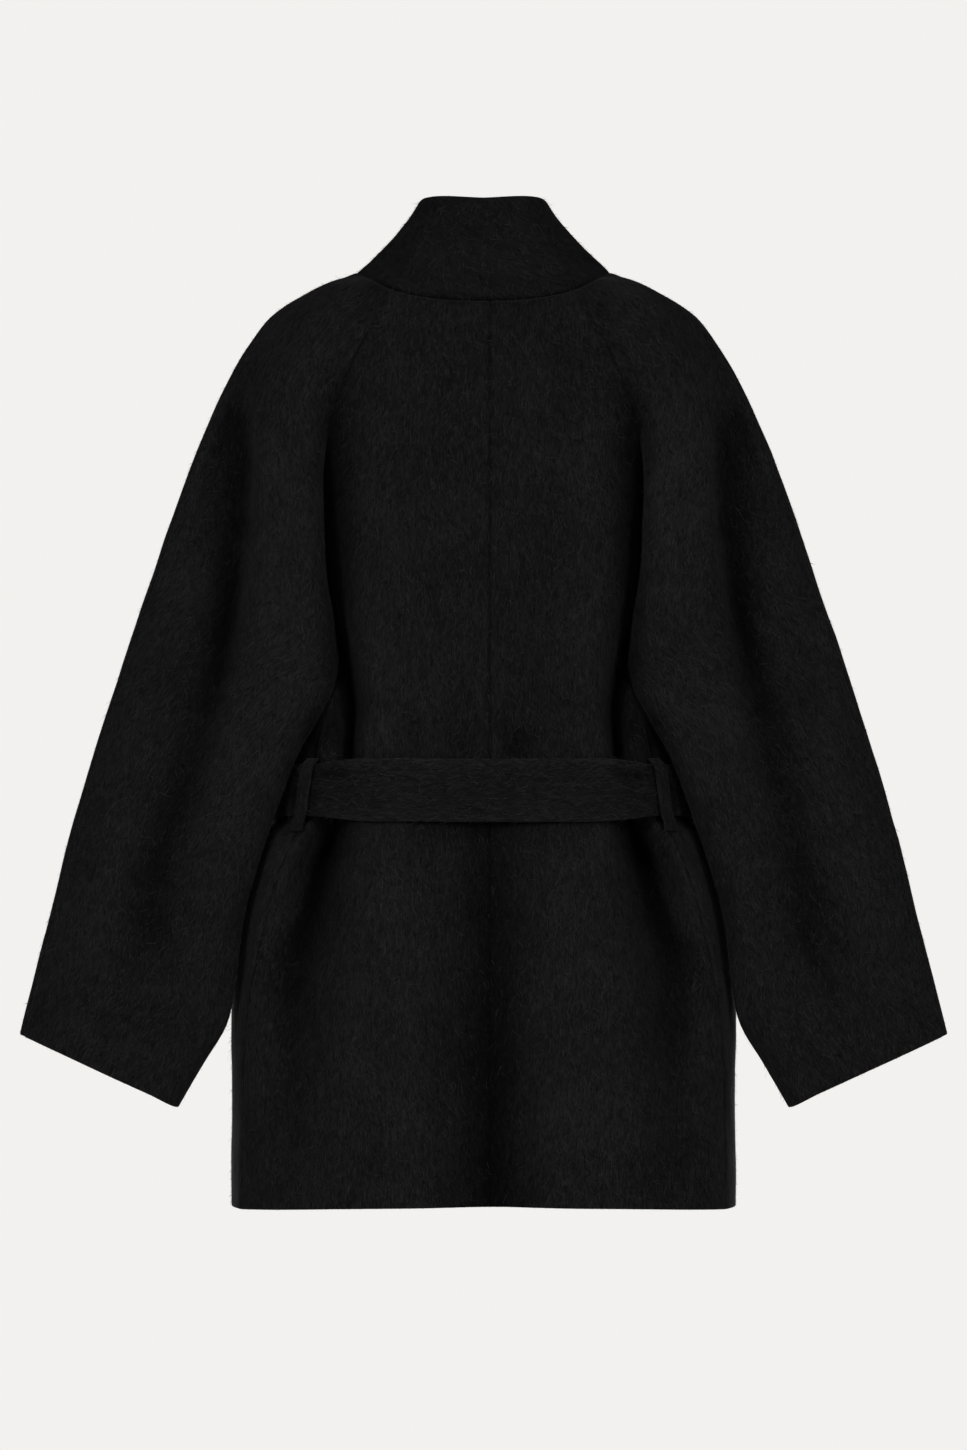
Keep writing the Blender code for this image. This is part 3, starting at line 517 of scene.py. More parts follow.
def sleeve_controls(row, side):
    """Control points of one sleeve row, from the back seam over the arm to the front seam."""
    raglan = row < len(RAGLAN)
    if raglan:
        at = RAGLAN[row]
        across = float(read(BACK_RAGLAN, "across", at.back_z))
        back = np.array([across, float(back_depth(side * across, at.back_z)), at.back_z])
        across, depth = ring_point(front_edge_turn(at.front_z), at.front_z)
        front = np.array([float(across), float(depth), at.front_z])
        wall = at.wall
        tilt = math.tan(math.radians(at.tilt))
    else:
        at = ARM[row - len(RAGLAN)]
        back = np.array([at.in_a, at.in_y, at.in_z], float)
        front = back
        wall = 1.0
        tilt = 0.0
    over = np.array([at.over_a, at.over_y, at.over_z], float)
    near = NEAR_SOFT * (1 - wall) + NEAR_STEEP * wall if raglan else NEAR_ARM
    roll = ROLL_SOFT * (1 - wall) + ROLL_STEEP * wall
    points = [back]
    for share, depth in ((near, at.near), (roll, at.roll), (MID, at.mid), (EDGE, at.edge)):
        on_chord = back + (over - back) * share
        rise = depth - on_chord[1]
        points.append(on_chord + np.array([0, rise, rise * tilt]))
    points.append(over)
    points += raglan_front(at, front, over, tilt) if raglan else arm_front(at, front, over)
    points.append(front)
    return np.array(points)


print("control points in a sleeve row:", len(sleeve_controls(0, 1)))

# %% The sleeve grid, evened out at the armpit
# Control points at the overarm line and the front seam, counted from the back seam
OVERARM = 5
FRONT_SEAM = 10
OVERARM_SHIFT = 0.3
# Control points repeated past a seam, so that a row below the underarm closes smoothly
WRAP = 2
FOLD_RUN_OUT = 0.8
ARMPIT_ROWS = (9, 14)
RELAX_PASSES = 8
RELAX_REACH = 3
RELAX_SHARE = 0.5
# Columns of the solids, on which the evening-out is counted
SOLID_BACK_COLUMNS = 12
SOLID_FRONT_COLUMNS = 9


def relax(grid, column, first, last):
    """Even out a grid along its columns between two rows, less and less towards its edge columns."""
    freedom = RELAX_SHARE * ease((np.minimum(column, column[::-1]) - 1) / RELAX_REACH)[:, None]
    for _ in range(RELAX_PASSES):
        for i in range(first, last):
            before = np.linalg.norm(grid[i] - grid[i - 1], axis=-1, keepdims=True)
            after = np.linalg.norm(grid[i + 1] - grid[i], axis=-1, keepdims=True)
            even = grid[i - 1] + (grid[i + 1] - grid[i - 1]) * before / (before + after)
            grid[i] += freedom * (even - grid[i])


def sleeve_grid(side):
    """Outer skin of one sleeve, rows from the neck to the cuff, columns from back seam to front seam."""
    split = OVERARM - OVERARM_SHIFT
    back_places = np.linspace(0, split, SLEEVE_BACK_COLUMNS)
    front_places = np.linspace(OVERARM, FRONT_SEAM, SLEEVE_FRONT_COLUMNS - 1)
    places = np.concatenate([back_places, front_places])
    last_column = SOLID_BACK_COLUMNS + SOLID_FRONT_COLUMNS - 2
    back_column = np.linspace(0, SOLID_BACK_COLUMNS - 1, SLEEVE_BACK_COLUMNS)
    front_column = np.linspace(SOLID_BACK_COLUMNS, last_column, SLEEVE_FRONT_COLUMNS - 1)
    rows = []
    for row in range(len(RAGLAN) + len(ARM)):
        points = sleeve_controls(row, side)
        if row < len(RAGLAN):
            line = spline(points, places)
        else:
            around = np.concatenate([points[-1 - WRAP : -1], points, points[1 : 1 + WRAP]])
            line = spline(around, places + WRAP)
        fold = read_row(SLEEVE_FOLD, row)
        off = (line[:, 0] - points[0, 0]) / (points[OVERARM, 0] - points[0, 0]) - fold.share
        spread = np.where(off < 0, fold.inner, fold.outer)
        depth = fold.depth * np.exp(-0.5 * (off / spread) ** 2)
        line[:, 1] -= depth * ease((split - places) / FOLD_RUN_OUT) * ease(places)
        line[:, 0] *= side
        rows.append(line)
    grid = np.array(rows)
    relax(grid, np.concatenate([back_column, front_column]), *ARMPIT_ROWS)
    return grid * MM


print("sleeve grid:", sleeve_grid(1).shape)

# %% [markdown]
# ## From grid to cloth
# Real cloth bends most where it is sewn or turned under. A grid with even steps would need far too many
# points to show a seam two millimetres wide. So each row and then each column is read again along its
# own length, with short steps at both ends and long ones between. Subdividing the solids would round
# the seams away.

# %% Reading a panel finely, with short steps at its edges
EDGE_STEPS = np.array([0.0, 0.5, 1.1, 1.9, 3.0, 4.6, 7.0]) * MM
SHORTEST_FULL_EDGE = 60.0 * MM
FINE_STEPS = 12


def spaced(length, count):
    """Places along a line, crowded towards both ends."""
    start = EDGE_STEPS * min(1.0, length / SHORTEST_FULL_EDGE)
    stop = length - start[::-1]
    return np.concatenate([start, np.linspace(start[-1], stop[0], count + 2)[1:-1], stop])


def run_along(line):
    """How far each point of a line lies from its start."""
    return np.concatenate([[0.0], np.cumsum(np.linalg.norm(np.diff(line, axis=0), axis=1))])


def along_line(line, count):
    """A smooth curve through the points of a line, read at crowded places."""
    fine = spline(line, np.linspace(0, len(line) - 1, FINE_STEPS * (len(line) - 1) + 1))
    run = run_along(fine)
    places = spaced(run[-1], count)
    return np.stack([np.interp(places, run, fine[:, k]) for k in range(3)], axis=-1)


def fine_sheet(grid, across, along):
    """The grid read finely along its rows and then along its columns."""
    rows = np.array([along_line(row, across) for row in grid])
    return np.stack([along_line(rows[:, j], along) for j in range(rows.shape[1])], axis=1)


print("steps at an edge:", np.round(EDGE_STEPS / MM, 1).tolist(), "mm")

# %% Lengths, areas and normals on a sheet
TINY = 1e-12


def run_from(sheet, axis):
    """How far each point lies from the sheet's first edge and from its last edge, along the cloth."""
    steps = np.linalg.norm(np.diff(sheet, axis=axis), axis=-1)
    start = np.zeros_like(np.take(steps, [0], axis))
    run = np.concatenate([start, np.cumsum(steps, axis=axis)], axis=axis)
    return run, np.take(run, [-1], axis) - run


def unit(vectors):
    """The same directions, each with a length of 1."""
    return vectors / np.maximum(np.linalg.norm(vectors, axis=-1, keepdims=True), TINY)


def grid_steps(sheet):
    """Vectors square to the sheet, each as long as the area of one step of the grid."""
    return np.cross(np.gradient(sheet, axis=0), np.gradient(sheet, axis=1))


def grid_areas(sheet):
    return np.linalg.norm(grid_steps(sheet), axis=-1)


def grid_normals(sheet):
    return unit(grid_steps(sheet))


def outward(sheet, middle):
    """1 where the grid's own normals point away from a middle, and -1 where they point towards it."""
    return float(np.sign(np.sum(grid_normals(sheet) * (sheet - middle))))


print("centre-back seam:", round(float(run_from(back_grid(1), 0)[0][-1, 0]), 3), "m long")

# %% [markdown]
# ## Sewn seams, turned edges and creases
# A pressed seam sinks by a millimetre or two and the cloth swells a little beside it. A hem, cuff or
# front edge is turned under, so it ends in a round roll. Creases are long soft troughs that the cloth
# keeps from hanging and being tied. They are listed one by one, each with its own length, depth and width,
# in millimetres across and up the coat. Simulating the cloth would lose the cut that shows, so the
# troughs are pressed in directly.

# %% Seams and turned edges
SEAM_DIP = 1.6 * MM
SEAM_SPREAD = 1.5 * MM
SEAM_SWELL = 0.6 * MM
SWELL_AT = 6.0 * MM
SWELL_SPREAD = 3.5 * MM
ROLL_CLOSED = 0.97


def seam_press(run):
    """Lift of the cloth at a distance from a seam: sunk at the seam, swollen beside it."""
    sunk = SEAM_DIP * np.exp(-((run / SEAM_SPREAD) ** 2))
    swell = SEAM_SWELL * np.exp(-(((run - SWELL_AT) / SWELL_SPREAD) ** 2))
    return swell - sunk


def edge_roll(run, wall):
    """How far each skin turns in towards the middle of the wall near a free edge."""
    inside = ROLL_CLOSED * np.clip(1 - run / (wall / 2), 0, 1)
    return wall / 2 * (1 - np.sqrt(1 - inside**2))


print("a seam sinks", SEAM_DIP / MM, "mm and is about", 2 * SEAM_SPREAD / MM, "mm wide")

# %% Creases listed one by one
# Both ends, each across and up the coat, then depth and spread, all in millimetres
CREASES = {
    "sleeve_back_right": [
        (-247, -493, -304, -603, 3.0, 8),
        (-222, -440, -262, -470, 1.6, 9),
        (-198, -100, -203, -190, 8.0, 10),
        (-203, -190, -232, -335, 8.0, 13),
        (-232, -335, -258, -462, 7.0, 18),
        (-258, -462, -278, -540, 4.0, 20),
        (-252, -280, -270, -400, 6.5, 24),
        (-268, -400, -284, -545, 6.0, 32),
    ],
    "sleeve_back_left": [
        (235, -472, 256, -525, 2.0, 7),
        (215, -395, 250, -425, 1.4, 9),
        (200, -100, 202, -190, 8.5, 10),
        (202, -190, 228, -335, 8.0, 13),
        (228, -335, 270, -462, 7.0, 18),
        (270, -462, 278, -540, 4.0, 20),
        (250, -280, 270, -400, 6.5, 24),
        (268, -400, 284, -545, 6.0, 32),
    ],
    "back_right": [
        (-30, -366, -26, -377, 2.4, 9),
        (-26, -352, -33, -376, 4.0, 22),
        (-70, -340, -78, -378, 1.2, 8),
        (-84, -432, -96, -520, 2.0, 10),
        (-122, -432, -140, -520, 1.6, 8),
    ],
    "back_left": [
        (14, -358, 8, -376, 2.2, 20),
        (58, -348, 66, -378, 1.2, 9),
        (92, -432, 104, -500, 1.8, 9),
        (40, -432, 46, -470, 1.2, 10),
    ],
    "belt_round": [
        (138, -391, 114, -390, 2.8, 3.2),
        (139, -409, 127, -408, 2.2, 3.0),
        (-137, -393, -107, -390, 2.8, 3.2),
        (-138, -411, -124, -408, 2.0, 3.0),
    ],
    "front_left": [
        (70, -340, 78, -380, 1.6, 9),
        (128, -350, 134, -380, 1.4, 8),
        (84, -432, 96, -530, 1.8, 11),
    ],
    "front_right": [
        (-64, -345, -58, -380, 1.5, 9),
        (-70, -432, -88, -540, 2.0, 11),
        (-132, -432, -150, -500, 1.4, 9),
    ],
    "sleeve_front_left": [
        (232, -430, 262, -470, 2.0, 9),
        (250, -520, 300, -590, 1.8, 10),
    ],
    "sleeve_front_right": [
        (-226, -420, -270, -450, 2.2, 9),
        (-262, -540, -292, -610, 1.6, 9),
    ],
}

print("creases placed by hand:", sum(len(own) for own in CREASES.values()))

# %% Press creases and a slow unevenness into a sheet
CREASE_END = 0.45
UNEVEN = ((1.1 * MM, 70 * MM), (0.5 * MM, 26 * MM))


def crease_press(name, sheet):
    """Depth pressed in by a panel's own creases, each fading out at its two ends."""
    pressed = np.zeros(sheet.shape[:2])
    flat = sheet[..., [0, 2]] / MM
    for x0, z0, x1, z1, depth, spread in CREASES.get(name, ()):
        start = np.array([x0, z0], float)
        line = np.array([x1, z1], float) - start
        share = np.clip(((flat - start) @ line) / (line @ line), 0, 1)
        off = np.linalg.norm(flat - start - share[..., None] * line, axis=-1)
        bow = CREASE_END + (1 - CREASE_END) * np.sin(np.pi * share)
        pressed += depth * MM * bow * np.exp(-((off / spread) ** 2))
    return pressed


def slow_noise(points, wide):
    """Soft noise between -1 and 1 at each point, changing over a given width."""
    return np.array([noise.noise(Vector(point) / wide) for point in points])


def unevenness(sheet):
    """A slow rise and fall of heavy cloth that never hangs quite flat."""
    points = sheet.reshape(-1, 3)
    return sum(high * slow_noise(points, wide) for high, wide in UNEVEN).reshape(sheet.shape[:2])


print("heavy cloth rises and falls by", UNEVEN[0][0] / MM, "mm over", UNEVEN[0][1] / MM, "mm")

# %% [markdown]
# ## A sheet with two skins
# Wool this heavy shows its thickness at the hem and cuffs, so each piece has an outer and an inner skin
# joined round its border. The skins carry a small record of their place on the cloth, in metres across
# and along the panel. The finish reads it later, so that the hair of the wool runs down each panel
# whatever its shape.

# %% A named piece
def add_piece(name, points, faces, nap, lay, slot):
    """The cloth of a solid: smooth faces, a finish, and the place and painted shading (painted highlight
    and painted shade) of each point on the cloth.
    """
    mesh = bpy.data.meshes.new(name + "_cloth")
    mesh.from_pydata(points.reshape(-1, 3).tolist(), [], faces)
    mesh.shade_smooth()
    place = mesh.attributes.new("nap", "FLOAT_VECTOR", "POINT")
    place.data.foreach_set("vector", nap.astype(np.float32).ravel())
    tone = mesh.attributes.new("lay", "FLOAT", "POINT")
    tone.data.foreach_set("value", lay.astype(np.float32).ravel())
    mesh.materials.append(finishes[slot])
    piece = bpy.data.objects.new(name + "_cloth", mesh)
    bpy.context.scene.collection.objects.link(piece)
    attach(piece, "root")
    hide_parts(name)
    return piece


print("solids that wait for their cloth:", len(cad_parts))

# %% Faces of two skins and a border
def skin_faces(rows, columns, first, turned):
    """Four-cornered faces of one skin of a grid."""
    faces = []
    for i in range(rows - 1):
        for j in range(columns - 1):
            at = first + i * columns + j
            corners = (at, at + columns, at + columns + 1, at + 1)
            faces.append(corners[::-1] if turned else corners)
    return faces


def border_faces(rows, columns, turned):
    """Faces that close the border between the outer and the inner skin."""
    border = [(0, j) for j in range(columns)]
    border += [(i, columns - 1) for i in range(1, rows)]
    border += [(rows - 1, j) for j in range(columns - 2, -1, -1)]
    border += [(i, 0) for i in range(rows - 2, 0, -1)]
    count = rows * columns
    faces = []
    for (i, j), (m, n) in zip(border, border[1:] + border[:1]):
        here = i * columns + j
        after = m * columns + n
        corners = (here, after, after + count, here + count)
        faces.append(corners[::-1] if turned else corners)
    return faces


print("border faces of a grid of four points:", len(border_faces(2, 2, False)))

# %% [markdown]
# ## Seams that meet
# Two panels sewn together sink as one, in a direction between their own. If each sank along its own
# normal, the seam would open wherever the panels meet at an angle, as in the hollow under an arm. So
# every seam point looks up the panels beside it, shares its normal with theirs, and sinks less where
# the cloth is sharply folded anyway.

# %% Sewn and free edges
Panel = namedtuple("Panel", "kind sheet normals wall")
FREE_EDGES = {
    "back": ("bottom",),
    "front": ("last", "bottom"),
    "sleeve": ("bottom",),
    "collar": ("first", "last", "bottom"),
}
EDGE_AT = {
    "first": (slice(None), 0),
    "last": (slice(None), -1),
    "top": (0, slice(None)),
    "bottom": (-1, slice(None)),
}
# Creases and unevenness run out over this distance towards a seam
SEAM_CALM = 14.0 * MM


def edge_runs(sheet):
    """How far each point lies from each of the sheet's four edges."""
    first, last = run_from(sheet, 1)
    top, bottom = run_from(sheet, 0)
    return {"first": first, "last": last, "top": top, "bottom": bottom}


def sewn_edges(kind):
    return [edge for edge in EDGE_AT if edge not in FREE_EDGES[kind]]


def cut_panel(name, kind, grid, facing, count, wall):
    """A fine panel with its creases and slow unevenness, and with normals that point out of the coat."""
    fine = fine_sheet(grid, *count)
    runs = edge_runs(fine)
    calm = ease(np.minimum.reduce([runs[edge] for edge in sewn_edges(kind)]) / SEAM_CALM)
    shape = (unevenness(fine) - crease_press(name, fine)) * calm
    fine = fine + grid_normals(fine) * facing * shape[..., None]
    return Panel(kind, fine, grid_normals(fine) * facing, wall)


print("sewn edges:", {kind: sewn_edges(kind) for kind in FREE_EDGES})

# %% Share normals and sink the seams
MEET = 2.5 * MM
SEAM_BLEND = 7.0 * MM
# Depth of the neck seam beside other seams at the centre and at the shoulders, and where it changes
NECK_SEAM = (1.8, 0.2)
NECK_FADE = (76.0 * MM, 104.0 * MM)


def neck_share(sheet):
    """How deep the neck seam sinks: it runs out at the shoulders, where the outline crosses it."""
    out = ease((np.abs(sheet[..., 0]) - NECK_FADE[0]) / (NECK_FADE[1] - NECK_FADE[0]))
    return NECK_SEAM[0] + (NECK_SEAM[1] - NECK_SEAM[0]) * out


def sew(name, panels):
    """Normals of a panel shared along its seams, and how far its seams press the cloth in or out."""
    panel = panels[name]
    others = [
        (other.sheet[EDGE_AT[edge]], other.normals[EDGE_AT[edge]])
        for key, other in panels.items()
        if key != name
        for edge in sewn_edges(other.kind)
    ]
    points = np.concatenate([at for at, _ in others])
    leaning = np.concatenate([normals for _, normals in others])
    runs = edge_runs(panel.sheet)
    normals = panel.normals.copy()
    press = np.zeros(panel.sheet.shape[:2])
    for edge in sewn_edges(panel.kind):
        axis = 1 if edge in ("first", "last") else 0
        own = panel.normals[EDGE_AT[edge]]
        off = np.linalg.norm(panel.sheet[EDGE_AT[edge]][:, None] - points[None], axis=-1)
        beside = unit(np.exp(-((off / MEET) ** 2)) @ leaning)
        flat = np.expand_dims(np.clip(np.sum(own * beside, axis=-1), 0, 1) ** 2, axis)
        shared = np.expand_dims(unit(own + beside), axis)
        near = (1 - ease(runs[edge] / SEAM_BLEND))[..., None]
        normals = unit(normals * (1 - near) + shared * near)
        depth = neck_share(panel.sheet) if edge == "top" else 1.0
        press = press + seam_press(runs[edge]) * flat * depth
    return normals, press


print("neck seam:", NECK_SEAM[0] * SEAM_DIP / MM, "mm deep at the centre")

# %% [markdown]
# ## Painted highlights on ridges and painted shade in hollows
# Brushed wool is given a painted highlight on ridges and turned edges, where it would be palest, and
# painted shade in folds, where little light reaches. A painter would shade this by eye. Here the form
# itself tells: a point that stands above the cloth around it is on a ridge, and one below it is in a
# hollow.
# The measure is taken all round the coat, so the hidden sides get the same painted shading as the side in
# the photo. Only a few spots of painted shade under the sleeves and beside the belt's ends are listed one
# by one, on the back.

# %% Painted shade under the sleeves and beside the belt's ends
# Spots of painted shade under the sleeves and beside the belt's ends, in millimetres, and the share of
# brightness left there
SHADE_SPOTS = named_rows(
    "across z half_wide half_tall share",
    [
        (119, -245, 11, 110, 0.35),
        (122, -356, 15, 27, 0.5),
        (139, -364, 8, 24, 0.12),
        (152, -408, 11, 30, 0.15),
        (134, -470, 14, 45, 0.5),
    ],
)


def rubbed(points):
    """Painted shade at the listed spots on the back of the coat: the share of brightness left at each
    point.
    """
    left = np.ones(points.shape[:2])
    for spot in SHADE_SPOTS:
        across = (np.abs(points[..., 0]) / MM - spot.across) / spot.half_wide
        tall = (points[..., 2] / MM - spot.z) / spot.half_tall
        left = left * (1 - (1 - spot.share) * np.exp(-(across**2) - tall**2) * (points[..., 1] > 0))
    return left


print("rubbed places on each side:", len(SHADE_SPOTS))

# %% Measure ridges and hollows
# Painted shading from the form: how far the measure reaches, how fast the painted highlight grows on ridges
# and the painted shade deepens in hollows, and the range it is held to
SHADING_REACH = 36.0 * MM
HIGHLIGHT_GAIN = 0.08 / MM
SHADE_GAIN = 0.16 / MM
SHADING_RANGE = (0.28, 1.35)
SHADING_STRIDE = 4
SHADING_BATCH = 400


def lay_cloud(panels):
    """Points spread over all the panels, with their normals and the area that each stands for."""
    points, normals, areas = [], [], []
    some = (slice(1, None, SHADING_STRIDE), slice(1, None, SHADING_STRIDE))
    for panel in panels.values():
        points.append(panel.sheet[some].reshape(-1, 3))
        normals.append(panel.normals[some].reshape(-1, 3))
        areas.append(grid_areas(panel.sheet)[some].ravel())
    return np.concatenate(points), np.concatenate(normals), np.concatenate(areas)


def hair_lay(panel, cloud):
    """Painted shading from the form: a painted highlight above 1 on ridges, painted shade below 1 in
    hollows and at the shade spots.
    """
    points, normals, areas = (part.astype(np.float32) for part in cloud)
    places = panel.sheet.reshape(-1, 3).astype(np.float32)
    ups = panel.normals.reshape(-1, 3).astype(np.float32)
    sunk = []
    for first in range(0, len(places), SHADING_BATCH):
        batch = slice(first, first + SHADING_BATCH)
        gap = points[None] - places[batch, None]
        alike = np.clip(ups[batch] @ normals.T, 0, 1)
        near = areas * np.exp(-np.sum(gap * gap, axis=-1) / SHADING_REACH**2) * alike
        rise = np.einsum("ijk,ik->ij", gap, ups[batch])
        sunk.append(np.sum(near * rise, axis=1) / np.sum(near, axis=1))
    sunk = np.concatenate(sunk)
    lay = np.exp(-np.where(sunk > 0, SHADE_GAIN, HIGHLIGHT_GAIN) * sunk)
    return np.clip(lay, *SHADING_RANGE).reshape(panel.sheet.shape[:2]) * rubbed(panel.sheet)


print("lay runs from", SHADING_RANGE[0], "in hollows to", SHADING_RANGE[1], "on ridges")

# %% A whole cloth piece
Sheet = namedtuple("Sheet", "piece outer normals along from_end lay")
PIECE_SHIFT = 3.7
# Painted shade in the sunk seams, as a share of the brightness taken at the full seam depth
SEAM_SHADE = 0.3


def cloth_piece(name, panel, normals, press, lay):
    """One panel as a piece: two skins with sunk seams and rolled free edges."""
    runs = edge_runs(panel.sheet)
    free = np.minimum.reduce([runs[edge] for edge in FREE_EDGES[panel.kind]])
    roll = edge_roll(free, panel.wall)
    # Painted shade along the seams: the deeper a seam sinks, the darker it is painted
    lay = lay * (1 + SEAM_SHADE * np.minimum(press, 0) / SEAM_DIP)
    outer = panel.sheet + normals * (press - roll)[..., None]
    inner = panel.sheet + normals * (roll - panel.wall)[..., None]
    rows, columns = panel.sheet.shape[:2]
    turned = np.sum(grid_normals(panel.sheet) * panel.normals) < 0
    faces = skin_faces(rows, columns, 0, turned)
    faces += skin_faces(rows, columns, rows * columns, not turned)
    faces += border_faces(rows, columns, turned)
    shift = np.full(free.shape, PIECE_SHIFT * len(bpy.data.meshes))
    nap = np.stack([runs["first"], runs["top"], shift], axis=-1)
    both = [np.stack(pair) for pair in ((outer, inner), (nap, nap), (lay, lay))]
    piece = add_piece(name, both[0], faces, both[1], both[2], "coat_wool")
    return Sheet(piece, outer, panel.normals, runs["top"], runs["bottom"], lay)


print("the streaks of each piece are shifted by", PIECE_SHIFT)

# %% [markdown]
# ## Black brushed wool
# The cloth is a heavy wool whose long hairs are brushed one way. Close up it is not one black: thin
# lighter and darker streaks a few millimetres long lie along the hair, gathered in loose clumps, over
# slow cloudy changes where the hair lies differently. Noise drawn out along the hair gives this at its
# true scale, and the same noise lifts the surface, so light from the side catches it. A picture of
# cloth would repeat and stretch.

# %% Streaks of hair
# Streaks, clumps and slow clouds: size across and along the hair, detail, shift and share of the whole
LAYERS = named_rows(
    "across along detail shift share",
    [
        (0.9 * MM, 7.0 * MM, 3.0, 0.0, 0.7),
        (4.0 * MM, 12.0 * MM, 2.0, 11.0, 0.15),
        (60.0 * MM, 60.0 * MM, 1.0, 23.0, 0.15),
    ],
)


def set_sockets(tree, node, sockets):
    """Link each socket of a node to an output of another one, or set it to a value."""
    for socket, value in sockets.items():
        if isinstance(value, bpy.types.NodeSocket):
            tree.links.new(value, node.inputs[socket])
        else:
            node.inputs[socket].default_value = value


def add_node(tree, kind, sockets):
    node = tree.nodes.new("ShaderNode" + kind)
    set_sockets(tree, node, sockets)
    return node


def drawn_noise(tree, place, layer):
    """Noise stretched to a size across and along the hair."""
    scale = (1 / layer.across, 1 / layer.along, 1.0)
    shift = (layer.shift, layer.shift, 0.0)
    spread = add_node(tree, "Mapping", {"Vector": place, "Scale": scale, "Location": shift})
    sockets = {"Scale": 1.0, "Detail": layer.detail, "Roughness": 0.6, "Distortion": 0.9}
    return add_node(tree, "TexNoise", {"Vector": spread.outputs["Vector"], **sockets}).outputs["Fac"]


def added_share(tree, total, part, share):
    """A share of one value in the finish, added to what is there already."""
    shared = add_node(tree, "Math", {0: part, 1: share})
    shared.operation = "MULTIPLY"
    if total is None:
        return shared.outputs[0]
    added = add_node(tree, "Math", {0: total, 1: shared.outputs[0]})
    added.operation = "ADD"
    return added.outputs[0]


print("layers of hair:", [round(layer.along / MM, 1) for layer in LAYERS], "mm along it")

# %% The wool finish
# Places on the mixed noise and their colours
WOOL_DARK = (0.34, (0.0022, 0.0022, 0.0023, 1.0))
WOOL_MID = (0.5, (0.0050, 0.0050, 0.0051, 1.0))
WOOL_LIGHT = (0.68, (0.0120, 0.0119, 0.0118, 1.0))


def wool(name):
    """Brushed wool whose hair runs along the panel."""
    finish = bpy.data.materials.new(name)
    finish.use_nodes = True
    tree = finish.node_tree
    shader = tree.nodes["Principled BSDF"]
    place = add_node(tree, "Attribute", {})
    place.attribute_name = "nap"
    mixed = None
    for layer in LAYERS:
        mixed = added_share(tree, mixed, drawn_noise(tree, place.outputs["Vector"], layer), layer.share)
    ramp = add_node(tree, "ValToRGB", {"Fac": mixed})
    stops = ramp.color_ramp.elements
    stops[0].position, stops[0].color = WOOL_DARK
    stops[1].position, stops[1].color = WOOL_LIGHT
    stops.new(WOOL_MID[0]).color = WOOL_MID[1]
    # The colour is multiplied by the painted shading: painted highlight on ridges and edges, painted shade
    # in hollows, seams, creases and the listed spots
    lay = add_node(tree, "Attribute", {})
    lay.attribute_name = "lay"
    painted_shade_colour = add_node(tree, "VectorMath", {0: ramp.outputs["Color"]})
    painted_shade_colour.operation = "SCALE"
    set_sockets(tree, painted_shade_colour, {"Scale": lay.outputs["Fac"]})
    lifted = add_node(tree, "Bump", {"Height": mixed, "Strength": 0.55, "Distance": 0.9 * MM})
    set_sockets(tree, shader, {"Base Color": painted_shade_colour.outputs["Vector"], "Normal": lifted.outputs["Normal"]})
    set_sockets(tree, shader, {"Roughness": 0.95, "Specular IOR Level": 0.02})
    set_sockets(tree, shader, {"Sheen Weight": 0.02, "Sheen Roughness": 0.5})
    return finish


finishes = {slot: wool(slot + "_brushed") for slot in ("coat_wool", "belt_wool")}
print("finishes:", [finish.name for finish in finishes.values()])

# %% [markdown]
# ## The eight panels
# A maker cuts two backs, two fronts and four sleeve halves, and sews them at the centre back, the side
# seams, the raglan seams and the line over the arm. Each is read finely from its grid here. The right
# front lies over the left, so it is lifted by the thickness of the cloth under it, and the lift fades
# out towards the side.

# %% Cut the panels
CLOTH = 0.0025
# Steps across and along each kind of panel
COUNTS = {"back": (38, 118), "front": (36, 112), "sleeve": (36, 104)}
axis_middle = np.array([0.0, 0.0, BELT_LEVEL])
overarm = SLEEVE_BACK_COLUMNS - 1
panels = {}
neck = {}
for side, hand, lift in ((1, "left", 0.0), (-1, "right", LAP_LIFT)):
    back = back_grid(side)
    front = front_grid(side, lift)
    sleeve = sleeve_grid(side)
    core = (sleeve[:, :1] + sleeve[:, overarm : overarm + 1] + sleeve[:, -1:]) / 3
    grids = [
        ("back_" + hand, "back", back, outward(back, axis_middle)),
        ("front_" + hand, "front", front, outward(front, axis_middle)),
        ("sleeve_back_" + hand, "sleeve", sleeve[:, : overarm + 1], outward(sleeve, core)),
        ("sleeve_front_" + hand, "sleeve", sleeve[:, overarm:], outward(sleeve, core)),
    ]
    for name, kind, grid, facing in grids:
        panels[name] = cut_panel(name, kind, grid, facing, COUNTS[kind], CLOTH)
    neck[hand] = (np.concatenate([back[0, 1:], sleeve[0, 1:], front[0, 1:]]), back[0, :1])
print("panels cut:", len(panels))

# %% [markdown]
# ## The funnel collar
# The collar is a wide strip of double cloth, sewn to the neck edge and drawn in towards its top, so it
# leans inwards like a funnel. It could be turned on a lathe, but its foot dips at the front and its top
# rises at the back. So it is raised from the true neck line of the panels, each point drawn in towards
# an oval top edge.

# %% The collar's top edge
COLLAR_TOP_HALF = 54.0 * MM
COLLAR_TOP_BACK = 53.0 * MM
COLLAR_TOP_FRONT = -62.0 * MM
COLLAR_TOP_SQUARE = 2.3
# Turn from the centre back in degrees, and height in millimetres
COLLAR_TOP = named_rows("turn z", [(0, 85), (40, 87), (62, 86), (90, 78), (130, 60), (180, 44)])

print("collar top", COLLAR_TOP_HALF * 2 / MM, "mm across")

# %% Raise the collar on the neck line
COLLAR_WALL = 0.0035
COLLAR_ROWS = 6
COLLAR_STEPS = (200, 26)
COLLAR_FLARE = 1.22
# The top laps by a share of the front's lap. The upper end lies over the lower one with some room between
# them, and rises to it over a turn before the centre front
COLLAR_LAP_SHARE = 0.55
COLLAR_LAP_ROOM = 1.2 * MM
COLLAR_OVER_FROM = 0.9
COLLAR_OVER_RISE = 0.6
NECK_STRIDE = 3


